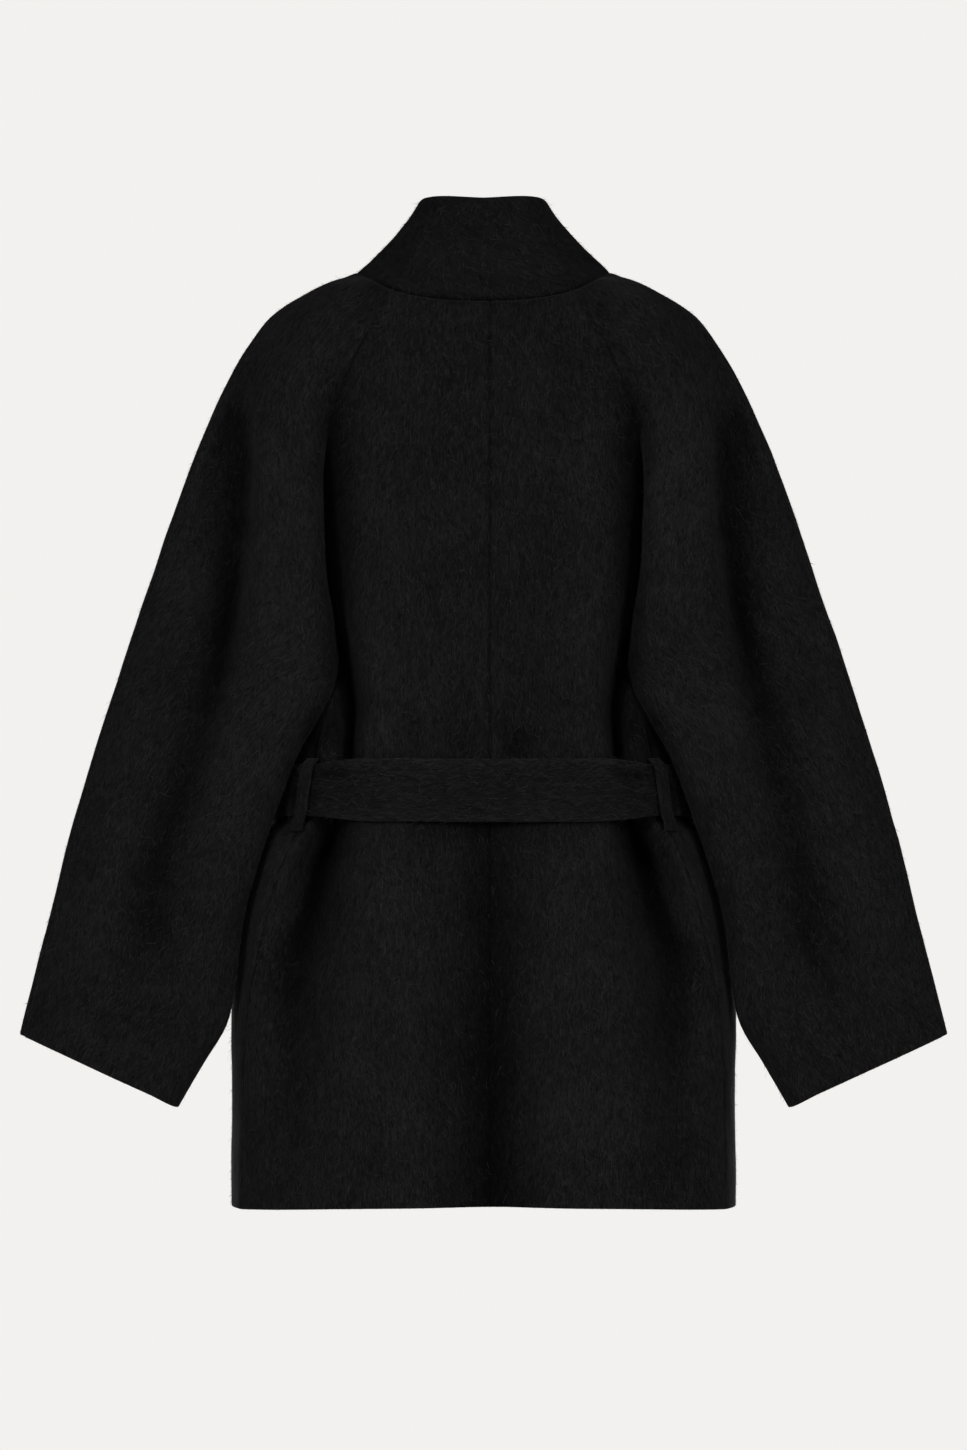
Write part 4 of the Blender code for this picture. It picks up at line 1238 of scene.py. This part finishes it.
def collar_grid(base):
    """Rows from the neck seam up to the collar's top edge."""
    length = run_along(base)
    back = int(np.argmax(base[:, 1]))
    before = (length - length[back]) / length[back]
    beyond = (length - length[back]) / (length[-1] - length[back])
    lap = math.asin((FRONT_LAP * COLLAR_LAP_SHARE / COLLAR_TOP_HALF) ** (COLLAR_TOP_SQUARE / 2))
    turn = np.where(length > length[back], beyond, before) * (math.pi + lap)
    cosine = np.cos(turn)
    reach = np.where(cosine > 0, COLLAR_TOP_BACK, -COLLAR_TOP_FRONT)
    risen = ease((np.abs(turn) - math.pi + COLLAR_OVER_FROM) / COLLAR_OVER_RISE)
    over = np.where(turn < 0, risen, 0.0)
    top_x = COLLAR_TOP_HALF * swollen(np.sin(turn), COLLAR_TOP_SQUARE)
    top_y = (reach + over * (COLLAR_WALL + COLLAR_LAP_ROOM)) * swollen(cosine, COLLAR_TOP_SQUARE)
    top_z = read(COLLAR_TOP, "z", np.minimum(np.degrees(np.abs(turn)), COLLAR_TOP[-1].turn)) * MM
    share = np.linspace(0, 1, COLLAR_ROWS)[:, None]
    drawn = 1 - (1 - share) ** COLLAR_FLARE
    across = base[:, 0] + (top_x - base[:, 0]) * drawn
    deep = base[:, 1] + (top_y - base[:, 1]) * drawn
    return np.stack([across, deep, base[:, 2] + (top_z - base[:, 2]) * share], axis=-1)


right_line, centre_point = neck["right"]
left_line, _ = neck["left"]
neck_line = np.concatenate([right_line[::-1], centre_point, left_line])[::NECK_STRIDE]
collar = collar_grid(neck_line)
collar_facing = outward(collar, np.zeros(3))
panels["collar"] = cut_panel("collar", "collar", collar, collar_facing, COLLAR_STEPS, COLLAR_WALL)
print("collar top", round(float(collar[..., 2].max()) / MM), "mm above the neck seam at the centre back")

# %% Sew the panels and the collar
# The collar has one even tone; the other panels get painted shading from their ridges and hollows
COLLAR_LAY = 0.98
cloud = lay_cloud(panels)
sheets = {}
for name, panel in panels.items():
    lay = np.full(panel.sheet.shape[:2], COLLAR_LAY) if name == "collar" else hair_lay(panel, cloud)
    sheets[name] = cloth_piece(name, panel, *sew(name, panels), lay)
sewn_faces = sum(len(sheet.piece.data.polygons) for sheet in sheets.values())
print("pieces sewn:", len(sheets), "faces:", sewn_faces)

# %% [markdown]
# ## The tie belt
# The belt is a tube of the same wool, turned right side out and pressed flat, so its section is a soft
# pillow. It goes round the waist over the gathered cloth and is squeezed where it passes the loops. A
# flat ribbon would have hard edges. A row of pillow sections along the waist line, with small uneven
# shifts, looks sewn and worn.

# %% Faces of a tube
def tube_faces(count, around, closed):
    """Faces round a row of rings, joined end to end or with a cap at each end."""
    faces = []
    for i in range(count if closed else count - 1):
        here = i * around
        after = (i + 1) % count * around
        for j in range(around):
            n = (j + 1) % around
            faces.append((here + j, here + n, after + n, after + j))
    if not closed:
        faces.append(tuple(range(around))[::-1])
        faces.append(tuple(range((count - 1) * around, count * around)))
    return faces


print("faces of a closed tube of four rings of four:", len(tube_faces(4, 4, True)))

# %% A strap from a row of pillow sections
STRAP_POINTS = 36
STRAP_SQUARE = 3.2
STRAP_SWAY = (0.8 * MM, 45.0 * MM)
STRAP_PUFF = (0.09, 30.0 * MM)
# Painted shading of a strap: the tone of its face and the painted highlight that its turned edges add, how
# close to the edges it stays, and the painted shade that creases take
STRAP_TONE_AND_HIGHLIGHT = (1.06, 0.5)
STRAP_HIGHLIGHT_EDGE = 4
STRAP_CREASE_SHADE = 0.3 / MM
Way = namedtuple("Way", "centres outs ups widths thick")


def strap_piece(name, way, closed, slot):
    """A soft strap along a row of centres, joined into a ring or rounded off at both ends."""
    turn = np.linspace(0, 2 * math.pi, STRAP_POINTS, endpoint=False) - math.pi / 2
    rise = swollen(np.sin(turn), STRAP_SQUARE) / 2
    deep = swollen(np.cos(turn), STRAP_SQUARE) / 2
    run = run_along(way.centres)
    sway = slow_noise(way.centres, STRAP_SWAY[1]) * STRAP_SWAY[0]
    thick = (1 + STRAP_PUFF[0] * slow_noise(way.centres, STRAP_PUFF[1])) * way.thick
    if not closed:
        close = np.clip(1 - np.minimum(run, run[-1] - run) / (way.thick / 2), 0, 1)
        thick = thick * np.sqrt(1 - (ROLL_CLOSED * close) ** 2)
    middle = way.centres + way.ups * sway[:, None]
    points = middle[:, None] + way.ups[:, None] * (way.widths[:, None] * rise)[..., None]
    points = points + way.outs[:, None] * (thick[:, None] * deep)[..., None]
    seen = (way.outs[:, 1:2] > 0) * np.clip(2 * deep, 0, 1)
    creased = crease_press(name, points) * seen
    points = points - way.outs[:, None] * creased[..., None]
    facing = np.dot(np.cross(way.ups[0], way.centres[1] - way.centres[0]), way.outs[0])
    faces = tube_faces(len(way.centres), STRAP_POINTS, closed)
    faces = faces if facing > 0 else [face[::-1] for face in faces]
    shift = PIECE_SHIFT * len(bpy.data.meshes)
    nap = np.stack(np.broadcast_arrays(way.widths[:, None] * rise, run[:, None], shift), axis=-1)
    # Painted shade in the creases, and on the belt a painted highlight along its top and bottom edges and
    # painted shade at the spots beside its loops
    lay = STRAP_TONE_AND_HIGHLIGHT[0] * np.exp(-STRAP_CREASE_SHADE * creased)
    if closed:
        lay = (lay + STRAP_TONE_AND_HIGHLIGHT[1] * np.abs(2 * rise) ** STRAP_HIGHLIGHT_EDGE) * rubbed(points)
    piece = add_piece(name, points, faces, nap, lay, slot)
    outer = points[:, : STRAP_POINTS // 2 + 1]
    shown = lay[:, : STRAP_POINTS // 2 + 1]
    along, from_end = run_from(outer, 0)
    # A ring has no end, so a length is added that leaves room for every hair
    from_end = from_end + float(closed)
    return Sheet(piece, outer, grid_normals(outer) * np.sign(-facing), along, from_end, shown)


print("points round a strap:", STRAP_POINTS)

# %% The belt's path
BELT_WIDTH = 52.0 * MM
BELT_NARROW = 42.0 * MM
BELT_WALL = 5.0 * MM
BELT_CLEAR = 1.4 * MM
# Turns over which the belt widens again behind and in front of its loops, and rises over the lap
BELT_TAPER_BACK = 0.45
BELT_TAPER_FRONT = 1.1
BELT_LAP_FROM = 1.5
BELT_LAP_RISE = 0.9
TURN_STEP = 0.01
loop_turn = turn_at(read(SIDE_SEAM, "across", BELT_LEVEL / MM), BELT_LEVEL / MM)


def belt_ring(turn, off):
    """A point of the belt's path: the waist section without its folds, moved out."""
    z = BELT_LEVEL / MM
    level = read_row(BODY, z)
    across, y = ring_point(turn, z)
    reach = level.back - level.middle if math.cos(turn) > 0 else level.middle - level.front
    grow = off / MM
    wide = across * (level.half_width + grow) / level.half_width
    deep = level.middle + (y - level.middle) * (reach + grow) / reach
    return np.array([wide, deep, z]) * MM


def belt_place(turn):
    """Centre, outward direction and width of the belt at a turn from the centre back."""
    over_lap = float(ease((BELT_LAP_FROM - abs(turn - math.pi)) / BELT_LAP_RISE))
    off = BELT_CLEAR + LAP_LIFT * over_lap + BELT_WALL / 2
    ahead = belt_ring(turn + TURN_STEP, off) - belt_ring(turn - TURN_STEP, off)
    past = min(turn, 2 * math.pi - turn) - loop_turn
    near = past / BELT_TAPER_FRONT if past > 0 else -past / BELT_TAPER_BACK
    width = BELT_NARROW + (BELT_WIDTH - BELT_NARROW) * float(ease(near))
    return belt_ring(turn, off), unit(np.array([-ahead[1], ahead[0], 0.0])), width


print("loops stand", round(math.degrees(loop_turn)), "degrees round from the centre back")

# %% The belt round the waist
BELT_STEPS = 280
# The ring begins under the knot, where the jump in its streaks doesn't show
turns = (np.linspace(0, 2 * math.pi, BELT_STEPS, endpoint=False) + math.pi) % (2 * math.pi)
centres, outs, widths = (np.array(column) for column in zip(*[belt_place(turn) for turn in turns]))
upright = np.tile([0.0, 0.0, 1.0], (BELT_STEPS, 1))
belt_way = Way(centres, outs, upright, widths, np.full(BELT_STEPS, BELT_WALL))
straps = {"belt_round": strap_piece("belt_round", belt_way, True, "belt_wool")}
print("belt round the waist:", round(float(straps["belt_round"].along[-1, 0]), 3), "m")

# %% [markdown]
# ## Loops, knot and hanging ends
# A narrow strip stands at each side seam, sewn down above and below the belt. In front the belt is tied
# once, so a rounded knot sits on it and two flat ends hang from under the knot. The camera doesn't see
# them, but a tie belt can't be without them. The strips and ends are straps again. The knot is a
# rounded lump with folds pressed in.

# %% Belt loops
LOOP_WIDTH = 13.0 * MM
LOOP_WALL = 2.6 * MM
LOOP_CLEAR = 1.2 * MM
LOOP_STEPS = 40
# Height in millimetres, and how far the strip has risen over the belt there
LOOP_LEVELS = named_rows(
    "z raised",
    [(-378, 0), (-380, 0.3), (-383, 0.8), (-386, 1), (-425, 1), (-430, 0.8), (-434, 0.4), (-438, 0)],
)
loop_tall = (LOOP_LEVELS[0].z - LOOP_LEVELS[-1].z) * MM
loop_z = LOOP_LEVELS[0].z - spaced(loop_tall, LOOP_STEPS) / MM
loop_across = read(SIDE_SEAM, "across", loop_z)
loop_ahead = unit(belt_ring(loop_turn + 2 * TURN_STEP, 0) - belt_ring(loop_turn - 2 * TURN_STEP, 0))
loop_out = np.array([-loop_ahead[1], loop_ahead[0], 0.0])
over_belt = BELT_CLEAR + BELT_WALL + LOOP_CLEAR
standing = LOOP_WALL / 2 + over_belt * read(LOOP_LEVELS, "raised", loop_z)
loop_skin = np.stack([loop_across, back_depth(loop_across, loop_z), loop_z], axis=-1) * MM
for side, hand in ((1, "left"), (-1, "right")):
    flip = np.array([side, 1, 1])
    count = len(loop_z)
    loop_way = Way(
        (loop_skin + loop_out * standing[:, None]) * flip,
        np.tile(loop_out * flip, (count, 1)),
        np.tile(loop_ahead * flip, (count, 1)),
        np.full(count, LOOP_WIDTH),
        np.full(count, LOOP_WALL),
    )
    straps["belt_loop_" + hand] = strap_piece("belt_loop_" + hand, loop_way, False, "coat_wool")
print("loops:", LOOP_WIDTH / MM, "mm wide and", loop_tall / MM, "mm tall")

# %% The knot
KNOT_SIZE = (48.0 * MM, 26.0 * MM, 62.0 * MM)
KNOT_ACROSS = 12.0 * MM
KNOT_SQUARE = 2.8
KNOT_STEPS = (50, 80)
# The rows stop just short of the poles, counted in half turns
KNOT_POLE = 0.49
# Folds: their depth, the slanting one's turn, lean, place and width, and the tuck's lean, width and share
KNOT_FOLD = 0.13
SLANT_TURN = 0.5
SLANT_LEAN = 0.8
SLANT_AT = 0.1
SLANT_WIDE = 0.16
TUCK_LEAN = 1.1
TUCK_WIDE = 0.2
TUCK_SHARE = 0.6
# Slow dents round and up the knot
DENT_DEPTH = 0.08
DENTS_ROUND = 2
DENTS_UP = 3


def rounded(turn):
    """A turn's sine, swollen towards a box."""
    return swollen(np.sin(turn), KNOT_SQUARE)


belt_face = belt_ring(math.pi, BELT_CLEAR + LAP_LIFT + BELT_WALL)[1]
knot_middle = np.array([KNOT_ACROSS, belt_face - KNOT_SIZE[1] / 2, BELT_LEVEL])
knot_rises = np.linspace(-KNOT_POLE, KNOT_POLE, KNOT_STEPS[0]) * math.pi
knot_turns = np.linspace(0, 2 * math.pi, KNOT_STEPS[1], endpoint=False)
knot_rise, knot_turn = np.meshgrid(knot_rises, knot_turns, indexing="ij")
girth = rounded(knot_rise + math.pi / 2)
slant = np.exp(-(((np.sin(knot_turn + SLANT_TURN + SLANT_LEAN * knot_rise) - SLANT_AT) / SLANT_WIDE) ** 2))
tuck = np.exp(-((np.cos(knot_turn - TUCK_LEAN * knot_rise) / TUCK_WIDE) ** 2))
dent = 1 - DENT_DEPTH * np.cos(DENTS_ROUND * knot_turn + DENTS_UP * knot_rise)
dent = dent - KNOT_FOLD * (slant + TUCK_SHARE * tuck)
knot_x = rounded(knot_turn + math.pi / 2) * girth * dent
knot_y = rounded(knot_turn) * girth * (dent + KNOT_FOLD / 2)
knot_form = np.stack([knot_x, knot_y, rounded(knot_rise)], axis=-1)
knot_points = knot_middle + knot_form * np.array(KNOT_SIZE) / 2
knot_points[..., 1] = np.minimum(knot_points[..., 1], belt_face)
knot_nap = (knot_points - knot_middle)[..., [0, 2, 1]]
knot_lay = np.ones(KNOT_STEPS)
knot = add_piece("belt_knot", knot_points, tube_faces(*KNOT_STEPS, False), knot_nap, knot_lay, "belt_wool")
print("knot", [round(side / MM) for side in KNOT_SIZE], "mm")

# %% The hanging ends
TAIL_WIDTH = 50.0 * MM
TAIL_CLEAR = 3.0 * MM
TAIL_WALL = 4.0 * MM
TAIL_STEPS = 70
TAIL_TUCK = 2.0 * MM
TAIL_SETTLE = 0.3
TAIL_WAVE = (1.2 * MM, 90.0 * MM)
# Share of its width that an end has at the knot, and the share of its length over which it spreads
TAIL_GATHERED = 0.62
TAIL_SPREAD = 0.35
TAILS = named_rows(
    "name across spread bottom_z off at_knot",
    [("belt_tail_left", 22, 26, -716, 0, 2.2), ("belt_tail_right", 2, -36, -690, 6.5, -2.2)],
)


def front_depth(across, z):
    """Depth of the foremost skin of the lapped fronts."""
    level = read_row(BODY, z)
    y = level.middle - (level.middle - level.front) * fullness(across, level)
    return y - LAP_LIFT / MM


tail_top = (knot_points[..., 2].min() + TAIL_TUCK) / MM
for tail in TAILS:
    tall = (tail_top - tail.bottom_z) * MM
    share = spaced(tall, TAIL_STEPS) / tall
    z = tail_top + (tail.bottom_z - tail_top) * share
    across = tail.across + tail.spread * share
    settled = ease(share / TAIL_SETTLE)
    hanging = front_depth(across, z) - (TAIL_CLEAR + TAIL_WALL / 2) / MM - tail.off
    tied = knot_middle[1] / MM + tail.at_knot
    wave = TAIL_WAVE[0] / MM * np.sin(2 * math.pi * share * tall / TAIL_WAVE[1] + tail.across) * settled
    centres = np.stack([across, tied + (hanging - tied) * settled - np.abs(wave), z], axis=-1) * MM
    lean = settled * math.atan2(tail.spread * MM, tall)
    ups = np.stack([np.cos(lean), np.zeros_like(lean), np.sin(lean)], axis=-1)
    outs = np.tile([0.0, -1.0, 0.0], (len(share), 1))
    widths = TAIL_WIDTH * (TAIL_GATHERED + (1 - TAIL_GATHERED) * ease(share / TAIL_SPREAD))
    tail_way = Way(centres, outs, ups, widths, np.full(len(share), TAIL_WALL))
    straps[tail.name] = strap_piece(tail.name, tail_way, False, "belt_wool")
print("hanging ends:", [round(tail_top - tail.bottom_z) for tail in TAILS], "mm long")

# %% [markdown]
# ## Long hairs over the wool
# Brushing pulls the ends of the wool out of the weave and lays them all one way. They catch a little
# more light than the black ground, so they show as fine grey strokes, and they soften the coat's
# outline. Blender can grow hair, but it can't be handed on as plain geometry. So each hair is a thin
# blade of three triangles, laid on the cloth with a root, a bend and a tip. A slow swirl and a small
# chance turn keep them from lying in ranks.

# %% Six tones of hair
HAIR_TONES = (0.0018, 0.0032, 0.0055, 0.009, 0.0145, 0.022)


def plain_finish(name, colour):
    """A rough finish of one colour."""
    finish = bpy.data.materials.new(name)
    finish.use_nodes = True
    shader = finish.node_tree.nodes["Principled BSDF"]
    set_sockets(finish.node_tree, shader, {"Base Color": (*colour, 1.0), "Roughness": 0.9})
    return finish


hair_finishes = []
for tone in HAIR_TONES:
    finish = plain_finish("wool_hair_" + str(tone).replace(".", "_"), (tone, tone, tone))
    finish.node_tree.nodes["Principled BSDF"].inputs["Specular IOR Level"].default_value = 0.02
    hair_finishes.append(finish)
print("hair tones:", HAIR_TONES)

# %% Roots and blades
# A blade has two points at its root, two in the middle and a tip: a face of four corners and one of three
BLADE_POINTS = 5
BLADE_CORNERS = (1, 0, 2, 3, 3, 2, 4)
BLADE_STARTS = (0, 4)


def blade_roots(sheet, density, chance):
    """Roots spread evenly over a sheet: place, normal, way along the cloth, room to its end and painted
    shading.
    """
    down = np.gradient(sheet.outer, axis=0)
    cells = grid_areas(sheet.outer)[:-1, :-1]
    count = int(density * cells.sum())
    picked = chance.choice(cells.size, count, p=cells.ravel() / cells.sum())
    i, j = np.divmod(picked, cells.shape[1])
    u, v = chance.random((2, count))

    def mixed(values):
        weights = ((1 - u) * (1 - v), u * (1 - v), (1 - u) * v, u * v)
        corners = (values[i, j], values[i + 1, j], values[i, j + 1], values[i + 1, j + 1])
        shape = (-1, *[1] * (values.ndim - 2))
        return sum(weight.reshape(shape) * corner for weight, corner in zip(weights, corners))

    ways = (unit(mixed(sheet.normals)), unit(mixed(down)))
    return mixed(sheet.outer), *ways, mixed(sheet.from_end), mixed(sheet.lay)


def blade_mesh(name, points, tones):
    """One joined mesh of blades, each with its own tone."""
    count = len(points)
    mesh = bpy.data.meshes.new(name)
    mesh.vertices.add(count * BLADE_POINTS)
    mesh.vertices.foreach_set("co", points.astype(np.float32).ravel())
    corners = np.arange(count)[:, None] * BLADE_POINTS + np.array(BLADE_CORNERS)
    mesh.loops.add(corners.size)
    mesh.loops.foreach_set("vertex_index", corners.astype(np.int32).ravel())
    starts = np.arange(count)[:, None] * len(BLADE_CORNERS) + np.array(BLADE_STARTS)
    mesh.polygons.add(starts.size)
    mesh.polygons.foreach_set("loop_start", starts.astype(np.int32).ravel())
    mesh.polygons.foreach_set("material_index", np.repeat(tones, len(BLADE_STARTS)).astype(np.int32))
    mesh.update(calc_edges=True)
    return mesh


print("points in a blade:", BLADE_POINTS)

# %% Hairs on a sheet
HAIR_LENGTH = 6.5 * MM
HAIR_LENGTH_SPREAD = 0.3
HAIR_WIDTH = 0.26 * MM
HAIR_WIDTH_RANGE = (0.6, 1.4)
HAIR_LIFT = 0.9 * MM
HAIR_SWIRL = (0.5, 50.0 * MM)
HAIR_STRAY = 0.6
HAIR_BEND = 0.25
HAIR_OVERHANG = 1.0 * MM
HAIR_TONE = 0.0075
HAIR_TONE_SPREAD = 0.82
FLYAWAY_SHARE = 0.1
FLYAWAY_LIFT = 3.5
FOOT_LIFT = 0.1 * MM
# The middle and the tip of a blade: shares of its length and bend, height off the cloth, share of its lift
MIDDLE, TIP = named_rows("along bend off lift", [(0.5, 0.3, 0.25 * MM, 0.8), (1.0, 1.0, 0.2 * MM, 0.7)])
MIDDLE_WIDTH = 0.8


def lay_hairs(name, sheet, density, turned, seed):
    """Lay hairs over the outer skin of a sheet, a number to the square metre."""
    chance = np.random.default_rng(seed)
    root, up, down, room, lay = blade_roots(sheet, density, chance)
    count = len(root)
    angle = slow_noise(root, HAIR_SWIRL[1]) * HAIR_SWIRL[0] + chance.normal(0, HAIR_STRAY, count)
    side = np.cross(up, down)
    way = (down * np.cos(angle)[:, None] + side * np.sin(angle)[:, None]) * turned
    side = np.cross(up, way)
    length = HAIR_LENGTH * np.exp(chance.normal(0, HAIR_LENGTH_SPREAD, count))
    if turned > 0:
        length = np.minimum(length, room + HAIR_OVERHANG)
    lift = HAIR_LIFT * chance.random(count) * length / HAIR_LENGTH
    lift = np.where(chance.random(count) < FLYAWAY_SHARE, lift * FLYAWAY_LIFT, lift)
    bend = chance.normal(0, HAIR_BEND, count) * length
    half = (HAIR_WIDTH / 2 * chance.uniform(*HAIR_WIDTH_RANGE, count))[:, None] * side

    def bead(at):
        moved = root + way * (length * at.along)[:, None] + side * (bend * at.bend)[:, None]
        return moved + up * (at.off + lift * at.lift)[:, None]

    foot = root + up * FOOT_LIFT
    middle = bead(MIDDLE)
    thin = half * MIDDLE_WIDTH
    points = np.stack([foot - half, foot + half, middle - thin, middle + thin, bead(TIP)], axis=1)
    # The painted shading of the cloth carries over to its hairs: darker tones in hollows, seams and shade
    # spots, paler ones on ridges
    shade = HAIR_TONE * lay * np.exp(chance.normal(0, HAIR_TONE_SPREAD, count))
    tones = np.abs(np.log(shade)[:, None] - np.log(HAIR_TONES)).argmin(axis=1)
    hairs = bpy.data.objects.new(name, blade_mesh(name, points, tones))
    for finish in hair_finishes:
        hairs.data.materials.append(finish)
    bpy.context.scene.collection.objects.link(hairs)
    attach(hairs, "root")
    return hairs


print("a hair is about", HAIR_LENGTH / MM, "mm long and", HAIR_WIDTH / MM, "mm wide")

# %% Hairs on every panel, the collar and the belt
SEEN_DENSITY = 150000
PLAIN_DENSITY = 60000
SEEN = ("back", "sleeve_back", "collar", "belt_round", "belt_loop")
for seed, (name, sheet) in enumerate({**sheets, **straps}.items()):
    density = SEEN_DENSITY if name.startswith(SEEN) else PLAIN_DENSITY
    # The collar's rows run up from the neck, so its hair is turned to lie downwards
    turned = -1.0 if name == "collar" else 1.0
    lay_hairs(name + "_hairs", sheet, density, turned, seed)

# %% [markdown]
# ## What each piece was cut from
# A tailor's cloth is flat before it is sewn, so each piece is recorded with the rectangle that it is
# cut from, its true area and how it is held now. The sizes are those of the finished pieces, without
# seam and hem allowances.

# %% Record the cut of every cloth piece
Cut = namedtuple("Cut", "width length area held rests_on")
BODY_PANELS = ("back_left", "back_right", "front_left", "front_right")
CUTS = {
    "back_left": Cut(0.26, 0.81, 0.143, "hung", ()),
    "back_right": Cut(0.26, 0.81, 0.143, "hung", ()),
    "front_left": Cut(0.41, 0.88, 0.219, "hung", ()),
    "front_right": Cut(0.41, 0.88, 0.219, "hung", ("front_left",)),
    "sleeve_back_left": Cut(0.23, 0.74, 0.122, "hung", ()),
    "sleeve_back_right": Cut(0.23, 0.74, 0.122, "hung", ()),
    "sleeve_front_left": Cut(0.29, 0.81, 0.137, "hung", ()),
    "sleeve_front_right": Cut(0.29, 0.81, 0.137, "hung", ()),
    "collar": Cut(0.77, 0.13, 0.052, "folded", BODY_PANELS),
    "belt_round": Cut(0.052, 0.945, 0.048, "stretched", BODY_PANELS),
    "belt_loop_left": Cut(0.013, 0.069, None, "stretched", ("back_left", "front_left")),
    "belt_loop_right": Cut(0.013, 0.069, None, "stretched", ("back_right", "front_right")),
    "belt_tail_left": Cut(0.05, 0.289, 0.0138, "hung", ("belt_knot",)),
    "belt_tail_right": Cut(0.05, 0.265, 0.0126, "hung", ("belt_knot",)),
}
areas = [cut.area or cut.width * cut.length for cut in CUTS.values()]
print("cloth in all:", round(sum(areas), 3), "square metres")

# %% [markdown]
# ## Floor, light and camera
# The photo is a cut-out on a plain pale ground. The cloth is brightest where it faces the camera, the
# slopes are darker and the hollows are black, so the light comes from broad lamps on the camera's side
# and hardly from elsewhere. One pale world couldn't do both, because it would light the hollows too. So
# the world shows the pale ground to the camera and gives only weak light, and wide lamps stand left,
# right and above the camera. Two more stand on the far side, so the coat can be looked at from the
# front too.

# %% Pale ground
GROUND = (0.896, 0.880, 0.863, 1.0)
WORLD_LIGHT = 0.05
scene = bpy.context.scene
world = bpy.data.worlds.new("pale_studio")
world.use_nodes = True
tree = world.node_tree
shown = tree.nodes["Background"]
shown.inputs["Color"].default_value = GROUND
weak = add_node(tree, "Background", {"Color": GROUND, "Strength": WORLD_LIGHT})
ray = add_node(tree, "LightPath", {})
sockets = {"Fac": ray.outputs["Is Camera Ray"], 1: weak.outputs[0], 2: shown.outputs[0]}
either = add_node(tree, "MixShader", sockets)
set_sockets(tree, tree.nodes["World Output"], {"Surface": either.outputs["Shader"]})
scene.world = world
scene.view_settings.view_transform = "Standard"
print("the world lights with", WORLD_LIGHT, "of what it shows")

# %% Floor
FLOOR_LEVEL = -1.45
FLOOR_HALF = 3.0
FLOOR_COLOUR = (0.8, 0.79, 0.78)
floor_mesh = bpy.data.meshes.new("studio_floor")
floor_sides = ((-1, -1), (1, -1), (1, 1), (-1, 1))
floor_points = [(x * FLOOR_HALF, y * FLOOR_HALF, FLOOR_LEVEL) for x, y in floor_sides]
floor_mesh.from_pydata(floor_points, [], [(0, 1, 2, 3)])
floor_mesh.materials.append(plain_finish("pale_floor", FLOOR_COLOUR))
floor = bpy.data.objects.new("studio_floor", floor_mesh)
scene.collection.objects.link(floor)
print("floor", round(SKIRT_ROWS[-1] * MM - FLOOR_LEVEL, 2), "m below the hem")

# %% Wide lamps
LAMPS = named_rows(
    "name x y z size power",
    [
        ("lamp_left", 3.4, 4.0, 1.0, 1.8, 152),
        ("lamp_right", -3.4, 4.0, 1.0, 1.8, 152),
        ("lamp_above", 0.0, 4.4, 4.0, 2.0, 70),
        ("lamp_far_left", 0.8, -5.3, -0.3, 1.8, 150),
        ("lamp_far_right", -0.8, -5.3, -0.3, 1.8, 150),
    ],
)
for lamp in LAMPS:
    light = bpy.data.lights.new(lamp.name, "AREA")
    light.size = lamp.size
    light.energy = lamp.power
    stand = bpy.data.objects.new(lamp.name, light)
    stand.location = (lamp.x, lamp.y, lamp.z)
    aim = Vector((0.0, 0.0, BELT_LEVEL)) - stand.location
    stand.rotation_euler = aim.to_track_quat("-Z", "Y").to_euler()
    scene.collection.objects.link(stand)
print("lamps:", {lamp.name: lamp.power for lamp in LAMPS})

# %% The camera
# The centre back from the neck seam to the hem, on the coat and in the photo's pixels
BACK_LENGTH = 750.0 * MM
BACK_PIXELS = 905
PHOTO_TALL = 1450
# Pixels from the neck seam down to the middle of the photo
MIDDLE_PIXELS = 423
CAMERA_AWAY = 12.0
pixel = BACK_LENGTH / BACK_PIXELS
camera_data = bpy.data.cameras.new("camera")
camera_data.sensor_width = 36.0
camera_data.lens = camera_data.sensor_width * CAMERA_AWAY / (PHOTO_TALL * pixel)
camera_data.clip_end = 100.0
camera = bpy.data.objects.new("camera", camera_data)
camera.location = (0.0, CAMERA_AWAY, -MIDDLE_PIXELS * pixel)
camera.rotation_euler = (math.pi / 2, 0.0, math.pi)
scene.collection.objects.link(camera)
scene.camera = camera
print("lens", round(camera_data.lens), "mm at", CAMERA_AWAY, "m")
